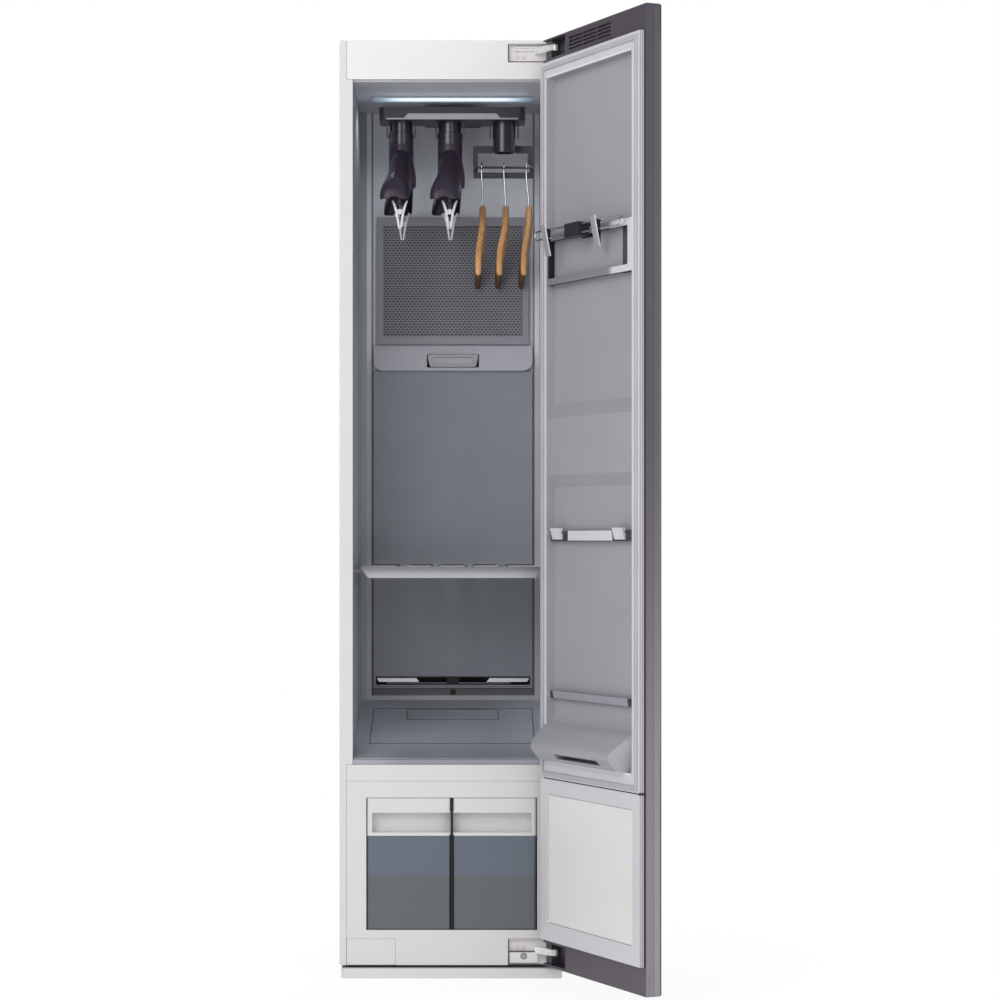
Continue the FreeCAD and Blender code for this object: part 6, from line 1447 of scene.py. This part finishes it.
class SCENE_OT_cabinet_door(bpy.types.Operator):
    """Door frame, glass, liners, seal and fittings"""

    bl_idname = "steam_cabinet.door"
    bl_label = "Door"

    def execute(self, context):
        edge = sizes().liner_edge
        small = sizes().small_edge
        alloy = purple_anodised_aluminium()
        border = light_grey_abs()
        fold_shading = fold_shade_grey_abs()
        recess = door_grey_abs()
        white = near_white_abs_and_painted_light()
        dressed("door_frame", "door", alloy, small)
        dressed("door_panel", "door", coated_glass(), small)
        split("door_trims", "door", "door_", trim_part, (("end_caps", alloy, small / 2, "door_alloy"),
                                                         ("vent", alloy, small / 2, "black_plastic")), 1)
        split("door_liner", "door", "door_liner_", liner_part, (("side", fold_shading, edge, "liner_light_grey"),
                                                                ("border", border, edge, "liner_light_grey"),
                                                                # painted highlight: the rim of the liner is
                                                                # coloured near-white for the light on its
                                                                # edge
                                                                ("rim", white, small, "white_liner"),
                                                                ("wedge", recess, edge, "liner_mid_grey"),
                                                                ("recess", recess, edge, "liner_mid_grey")))
        split("door_lower_liner", "door", "door_lower_", lower_part,
              (("panel", white, small, "white_liner"), ("border", border, edge / 2, "liner_light_grey"),
               ("side", fold_shading, edge / 2, "liner_light_grey")))
        dressed("door_gasket", "door", silicone_gasket(), GASKET_EDGE * MM)
        dressed("hinge_cups", "door", black_nylon(), small)
        painted("door_insulation", grey_foam())
        self.door_seam_shadows()
        self.press_bars()
        split("accessory_frame", "door", "accessory_", frame_part,
              (("ring", ring_silver(), small, "frame_silver"),
               # painted shade: the reveals inside the frame are coloured deep black for the shade in them
               ("shaded_reveals", black_abs_and_painted_shade(), small, "black_plastic"),
               ("panel", panel_grey(), small, "liner_mid_grey")))
        self.clip_hanger()
        self.hinges()
        return {"FINISHED"}

    def door_seam_shadows(self):
        """Dark sheet behind the vent grille, and painted shadow in the split between the liners and in the
        joint round the sunk panel.
        """
        bm = bmesh.new()
        x0, x1, z0, z1 = VENT
        block(bm, (x0 - VENT_REACH, VENT_Y[0], z0 - VENT_REACH),
              (x1 + VENT_REACH, VENT_Y[1], z1 + VENT_REACH))
        proud = LINER_FACE_Y + SPLIT_PROUD
        z0, z1 = SPLIT_Z
        block(bm, (SPLIT_X[0], SPLIT_Y, z0), (SPLIT_X[1], proud, z1))
        block(bm, (NOTCH_X[0], NOTCH_Y, z0 - NOTCH_MORE), (NOTCH_X[1], proud, z1 + NOTCH_MORE))
        z0, z1 = PANEL_Z
        outer, inner = (oblong(-PANEL_HALF - reach, PANEL_HALF + reach, z0 - reach, z1 + reach)
                        for reach in (PANEL_SEAM_HALF, -PANEL_SEAM_HALF))
        ring_y(bm, outer, inner, *PANEL_SEAM_Y)
        outward(bm)
        swung(bm)
        keep(bm, "door_seam_shadows", "door", gap_shadow_brown())

    def press_bars(self):
        """Dark bars with light pads."""
        small = sizes().small_edge
        dark = black_nylon()
        for node, body, pads, light in (("press_bar_middle", "press_bar_mid", MIDDLE_PADS, pad_grey_abs()),
                                        ("press_bar_lower", "press_bar_low", LOWER_PADS, filter_grey_abs())):
            split(node, body, node + "_", lambda middle: "pads" if on_pad(middle, pads) else "bar",
                  (("pads", light, small, "frame_silver"), ("bar", dark, small, "black_plastic")))

    def clip_hanger(self):
        """Rod loop, the block that hooks over the frame, and two plate clips on the rods."""
        x0, x1 = CLIP_ROD_X
        z0, z1 = CLIP_ROD_Z
        bend = (z1 - z0) / 2
        bm = bmesh.new()
        near = Vector((x1 - bend, rod_y(x1), (z0 + z1) / 2))
        far = Vector((x0 + bend, rod_y(x0), (z0 + z1) / 2))
        along = (near - far).normalized()
        up = Vector((0, 0, 1))
        path = [*arc_points(near, -90, 180, bend, (along, up), 12),
                *arc_points(far, 90, 180, bend, (along, up), 12)]
        path.append(path[0])
        wire(bm, path, CLIP_ROD_R, 16)
        outward(bm)
        swung(bm)
        keep(bm, "clip_hanger_rods", "trouser_hanger", polished_chrome(), ["clip_hanger"], 60)

        bm = bmesh.new()
        for corners in (CLIP_BLOCK, CLIP_TONGUE, CLIP_TONGUE_END):
            block(bm, *corners)
        outward(bm)
        soften(bm, 1.2, 3)
        swung(bm)
        keep(bm, "clip_hanger_block", "trouser_hanger", purple_grey_abs())

        front, behind = bmesh.new(), bmesh.new()
        for x in CLIP_X:
            y = rod_y(x)
            block(behind, (x - CLIP_NECK_HALF, y + CLIP_NECK_Y[0], CLIP_NECK_Z[0]),
                  (x + CLIP_NECK_HALF, y + CLIP_NECK_Y[1], CLIP_NECK_Z[1]))
            drawn(behind, [(x - CLIP_BACK_HALF, y + reach, z) for reach, z in CLIP_BACK_LEG], (1, 0, 0),
                  2 * CLIP_BACK_HALF)
            drawn(front, [(x - CLIP_HALF, y + reach, z) for reach, z in CLIP_PLATE], (1, 0, 0), 2 * CLIP_HALF)
        for bm, name, finish in ((front, "clip_hanger_plates", clip_grey()),
                                 (behind, "clip_hanger_springs", black_abs_and_painted_shade())):
            outward(bm)
            soften(bm, 0.6, 2)
            swung(bm)
            keep(bm, name, "trouser_hanger", finish)

    def hinges(self):
        """Light trays with painted shadow in their seams and round the screw, steel arms, black pins and a
        screw in the lower tray.
        """
        small = sizes().small_edge
        split("hinge_brackets", "cabinet", "hinge_", hinge_part,
              (("trays", near_white_abs_and_painted_light(), small, "white_abs"),
               ("arms", hinge_steel(), small, "zinc_steel"),
               ("pins", black_abs_and_painted_shade(), small, "black_plastic")))
        bm = bmesh.new()
        low, high = span("hinge_brackets")
        for z0, z1 in ((low.z, LOWER_TRAY_TOP), (UPPER_TRAY_FOOT, high.z)):
            ring_y(bm, oblong(low.x - 0.1, high.x + 0.1, z0 - 0.1, z1 + 0.1),
                   oblong(low.x + 1.5, high.x - 0.9, z0 + 1.7, z1 - 0.9), *TRAY_SHADOW_Y)
        block(bm, (low.x + 1, TRAY_SHADOW_LINE_Y[0], TRAY_SHADOW_LINE_Z[0]), (high.x - 1, TRAY_SHADOW_LINE_Y[1], TRAY_SHADOW_LINE_Z[1]))
        self.on_tray(bm, *SCREW_SHADOW_RING)
        outward(bm)
        keep(bm, "hinge_tray_seam_shadows", "cabinet", gap_shadow_brown())
        bm = bmesh.new()
        self.on_tray(bm, *SCREW_HEAD)
        outward(bm)
        soften(bm, 0.5)
        keep(bm, "hinge_plate_screw", "cabinet", zinc_plated_steel())

    def on_tray(self, bm, front, back, radius):
        """Adds a disc where the lower tray's screw is."""
        x, z = TRAY_SCREW
        drum(bm, (x, front, z), (x, back, z), radius)


def rod_y(x):
    """How far the clip hanger's rods stand off the shut door at a place along it."""
    (x0, x1), (y0, y1) = CLIP_ROD_X, CLIP_ROD_Y
    return y0 + (y1 - y0) * (x - x0) / (x1 - x0)


def clip_grey():
    """Plates of the hanger's clips: satin nickel, grey in front, with a painted highlight on the faces turned
    towards the opening.
    """
    made, tree = blank("clip_grey")
    highlight_facing = add(tree, "ShaderNodeVectorMath", {
        0: add(tree, "ShaderNodeNewGeometry").outputs["True Normal"],
        1: (-math.cos(DOOR_TURN), -math.sin(DOOR_TURN), 0.0)}, operation="DOT_PRODUCT").outputs["Value"]
    haze = grain(tree, 0.004, 2.0)
    shade = between(tree, highlight_facing, rgba(linear("#A5A3A8")), rgba(linear("#E9E9EC")), (0.3, 0.7))
    return textured(made, shade, (0.28, 0.36), haze, haze, 0.000003, {"Metallic": 0.2})


def gap_shadow_brown():
    """Painted shadow in the door's joints and round the hinge trays: brown-black, for the shade deep in each
    gap.
    """
    return plastic("gap_shadow_brown", linear("#3A3436"), 0.6, 0.0010, 0.00002, 0.06)


def on_shut_door(tree):
    """X, Y and Z, in metres, of where a point of the open door is with the door shut."""
    where = add(tree, "ShaderNodeTexCoord").outputs["Object"]
    placed = add(tree, "ShaderNodeVectorRotate", {
        "Vector": where, "Center": HINGE * MM, "Axis": (0, 0, 1), "Angle": -DOOR_TURN})
    return add(tree, "ShaderNodeSeparateXYZ", {0: placed.outputs["Vector"]}).outputs


def striped(tree, value, stripes):
    """Colour that runs through (place, colour) pairs as a value rises."""
    low, high = stripes[0][0], stripes[-1][0]
    share = add(tree, "ShaderNodeMapRange", {"Value": value, "From Min": low, "From Max": high})
    ramp = add(tree, "ShaderNodeValToRGB", {"Fac": share.outputs["Result"]})
    while len(ramp.color_ramp.elements) < len(stripes):
        ramp.color_ramp.elements.new(0.5)
    for stop, (start, colour) in zip(ramp.color_ramp.elements, stripes):
        stop.position = (start - low) / (high - low)
        stop.color = rgba(linear(colour))
    return ramp.outputs["Color"]


def fold_shade_grey_abs():
    """Edge of the door liners: pale ABS with painted light and shade, light and dark stripes for folds that
    lie behind one another.
    """
    made, tree = blank("fold_shade_grey_abs")
    lines = striped(tree, on_shut_door(tree)["Y"], FOLD_SHADE_STRIPES)
    return textured(made, lines, (0.36, 0.46), grain(tree, 0.03, 3.0), grain(tree, 0.0012, 1.0), 0.00001,
                    {"IOR": 1.5})


def ring_silver():
    """Front ring of the accessory frame: satin aluminium with a painted highlight that makes it brightest
    towards the free edge.
    """
    made, tree = blank("ring_silver")
    lines = grain(tree, 0.0010, 2.0, (0.05, 0.05, 1))
    ring_highlight = ramped(tree, on_shut_door(tree)["X"], *RING_HIGHLIGHT_X, 0.0, 1.0)
    shade = between(tree, ring_highlight, rgba(linear("#F2F2F4")), rgba(linear("#9D9BA1")), (0.0, 1.0))
    return textured(made, shade, (0.30, 0.42), lines, lines, 0.00001, {"Metallic": 0.35})


def panel_grey():
    """Panel in the accessory frame: grey ABS with a darker strip near the free edge."""
    made, tree = blank("panel_grey")
    strip = within(tree, on_shut_door(tree)["X"], PANEL_STRIP_X)
    shade = between(tree, strip, rgba(colours().door_liner), rgba(linear("#4A474D")), (0.0, 1.0))
    return textured(made, shade, (0.42, 0.52), grain(tree, 0.03, 3.0), grain(tree, 0.0010, 1.0), 0.00002,
                    {"IOR": 1.5})


def purple_anodised_aluminium():
    """Door frame: purple-grey anodised aluminium; its outer edge has a joint, and a painted reflection of the
    pale floor makes it paler at the foot.
    """
    made, tree = blank("purple_anodised_aluminium")
    place = on_shut_door(tree)
    lines = grain(tree, 0.0010, 2.0, (1, 1, 0.05))
    # painted reflection of the pale floor: the frame's outer edge is paler towards the foot
    pale = ramped(tree, place["Z"], *FRAME_REFLECTION_Z, 1.0, 0.0)
    outer = ramped(tree, place["X"], *FRAME_OUTER_X, 1.0, 0.0)
    edge = between(tree, pale, rgba(linear("#5B565E")), rgba(linear("#948C95")), (0.0, 1.0))
    band = ramped(tree, place["Y"], FRAME_JOINT_Y[1], FRAME_JOINT_Y[3], 1.0, 0.84)
    scale = product(tree, band, dimmed(tree, within(tree, place["Y"], FRAME_JOINT_Y), 0.45))
    tone = add(tree, "ShaderNodeVectorMath", {0: edge, "Scale": scale}, operation="SCALE")
    shade = add(tree, "ShaderNodeMix", {0: outer, 6: rgba(linear("#5A545C")), 7: tone.outputs["Vector"]},
                data_type="RGBA")
    return textured(made, shade.outputs[2], (0.40, 0.52), lines, lines, 0.000004, {"Metallic": 0.35})


def coated_glass():
    """Outer glass: clear float glass over a dark mirror-like coating."""
    made, _ = blank("coated_glass")
    return skinned(made, {"Base Color": rgba(colours().door_glass), "Roughness": 0.06, "IOR": 1.52,
                          "Coat Weight": 1.0, "Coat Roughness": 0.02})


# ------------------------------------------------------------------------------ machinery
class SCENE_OT_cabinet_machinery(bpy.types.Operator):
    """Fans, ducts, steam and cooling parts inside the casing"""

    bl_idname = "steam_cabinet.machinery"
    bl_label = "Machinery"

    def execute(self, context):
        duct = black_nylon()
        zinc = zinc_plated_steel()
        for node in ("blower_housing", "blower_impeller", "circulation_duct", "circulation_impeller",
                     "air_duct"):
            painted(node, duct)
        for node in ("fan_motors", "steam_generator"):
            painted(node, zinc)
        painted("compressor", purple_grey_abs())
        painted("refrigerant_circuit", copper_fins())
        painted("control_board", board_green())
        painted("insulation", grey_foam())
        return {"FINISHED"}


# ------------------------------------------------------------------------------ panel and running
MAKERS = (SCENE_OT_cabinet_stage, SCENE_OT_cabinet_casing, SCENE_OT_cabinet_chamber,
          SCENE_OT_cabinet_hanging_gear, SCENE_OT_cabinet_tanks, SCENE_OT_cabinet_door,
          SCENE_OT_cabinet_machinery)


class VIEW3D_PT_steam_cabinet(bpy.types.Panel):
    """Sidebar panel with the cabinet's settings and makers"""

    bl_idname = "VIEW3D_PT_steam_cabinet"
    bl_label = "Steam Cabinet"
    bl_space_type = "VIEW_3D"
    bl_region_type = "UI"
    bl_category = "Steam Cabinet"

    def draw(self, context):
        for settings in (context.scene.cabinet_sizes, context.scene.cabinet_colours):
            for name in settings.__annotations__:
                self.layout.prop(settings, name)
        for maker in MAKERS:
            self.layout.operator(maker.bl_idname)


CLASSES = (CabinetSizes, CabinetColours, *MAKERS, VIEW3D_PT_steam_cabinet)


def register():
    """Registers the classes and adds the settings to the scene."""
    for made in CLASSES:
        bpy.utils.register_class(made)
    bpy.types.Scene.cabinet_sizes = PointerProperty(type=CabinetSizes)
    bpy.types.Scene.cabinet_colours = PointerProperty(type=CabinetColours)


def unregister():
    """Takes the settings and classes away again."""
    del bpy.types.Scene.cabinet_colours
    del bpy.types.Scene.cabinet_sizes
    for made in reversed(CLASSES):
        bpy.utils.unregister_class(made)


def main():
    """Makes the whole cabinet."""
    register()
    for maker in MAKERS:
        group, name = maker.bl_idname.split(".")
        getattr(getattr(bpy.ops, group), name)()


if __name__ == "__main__":
    main()
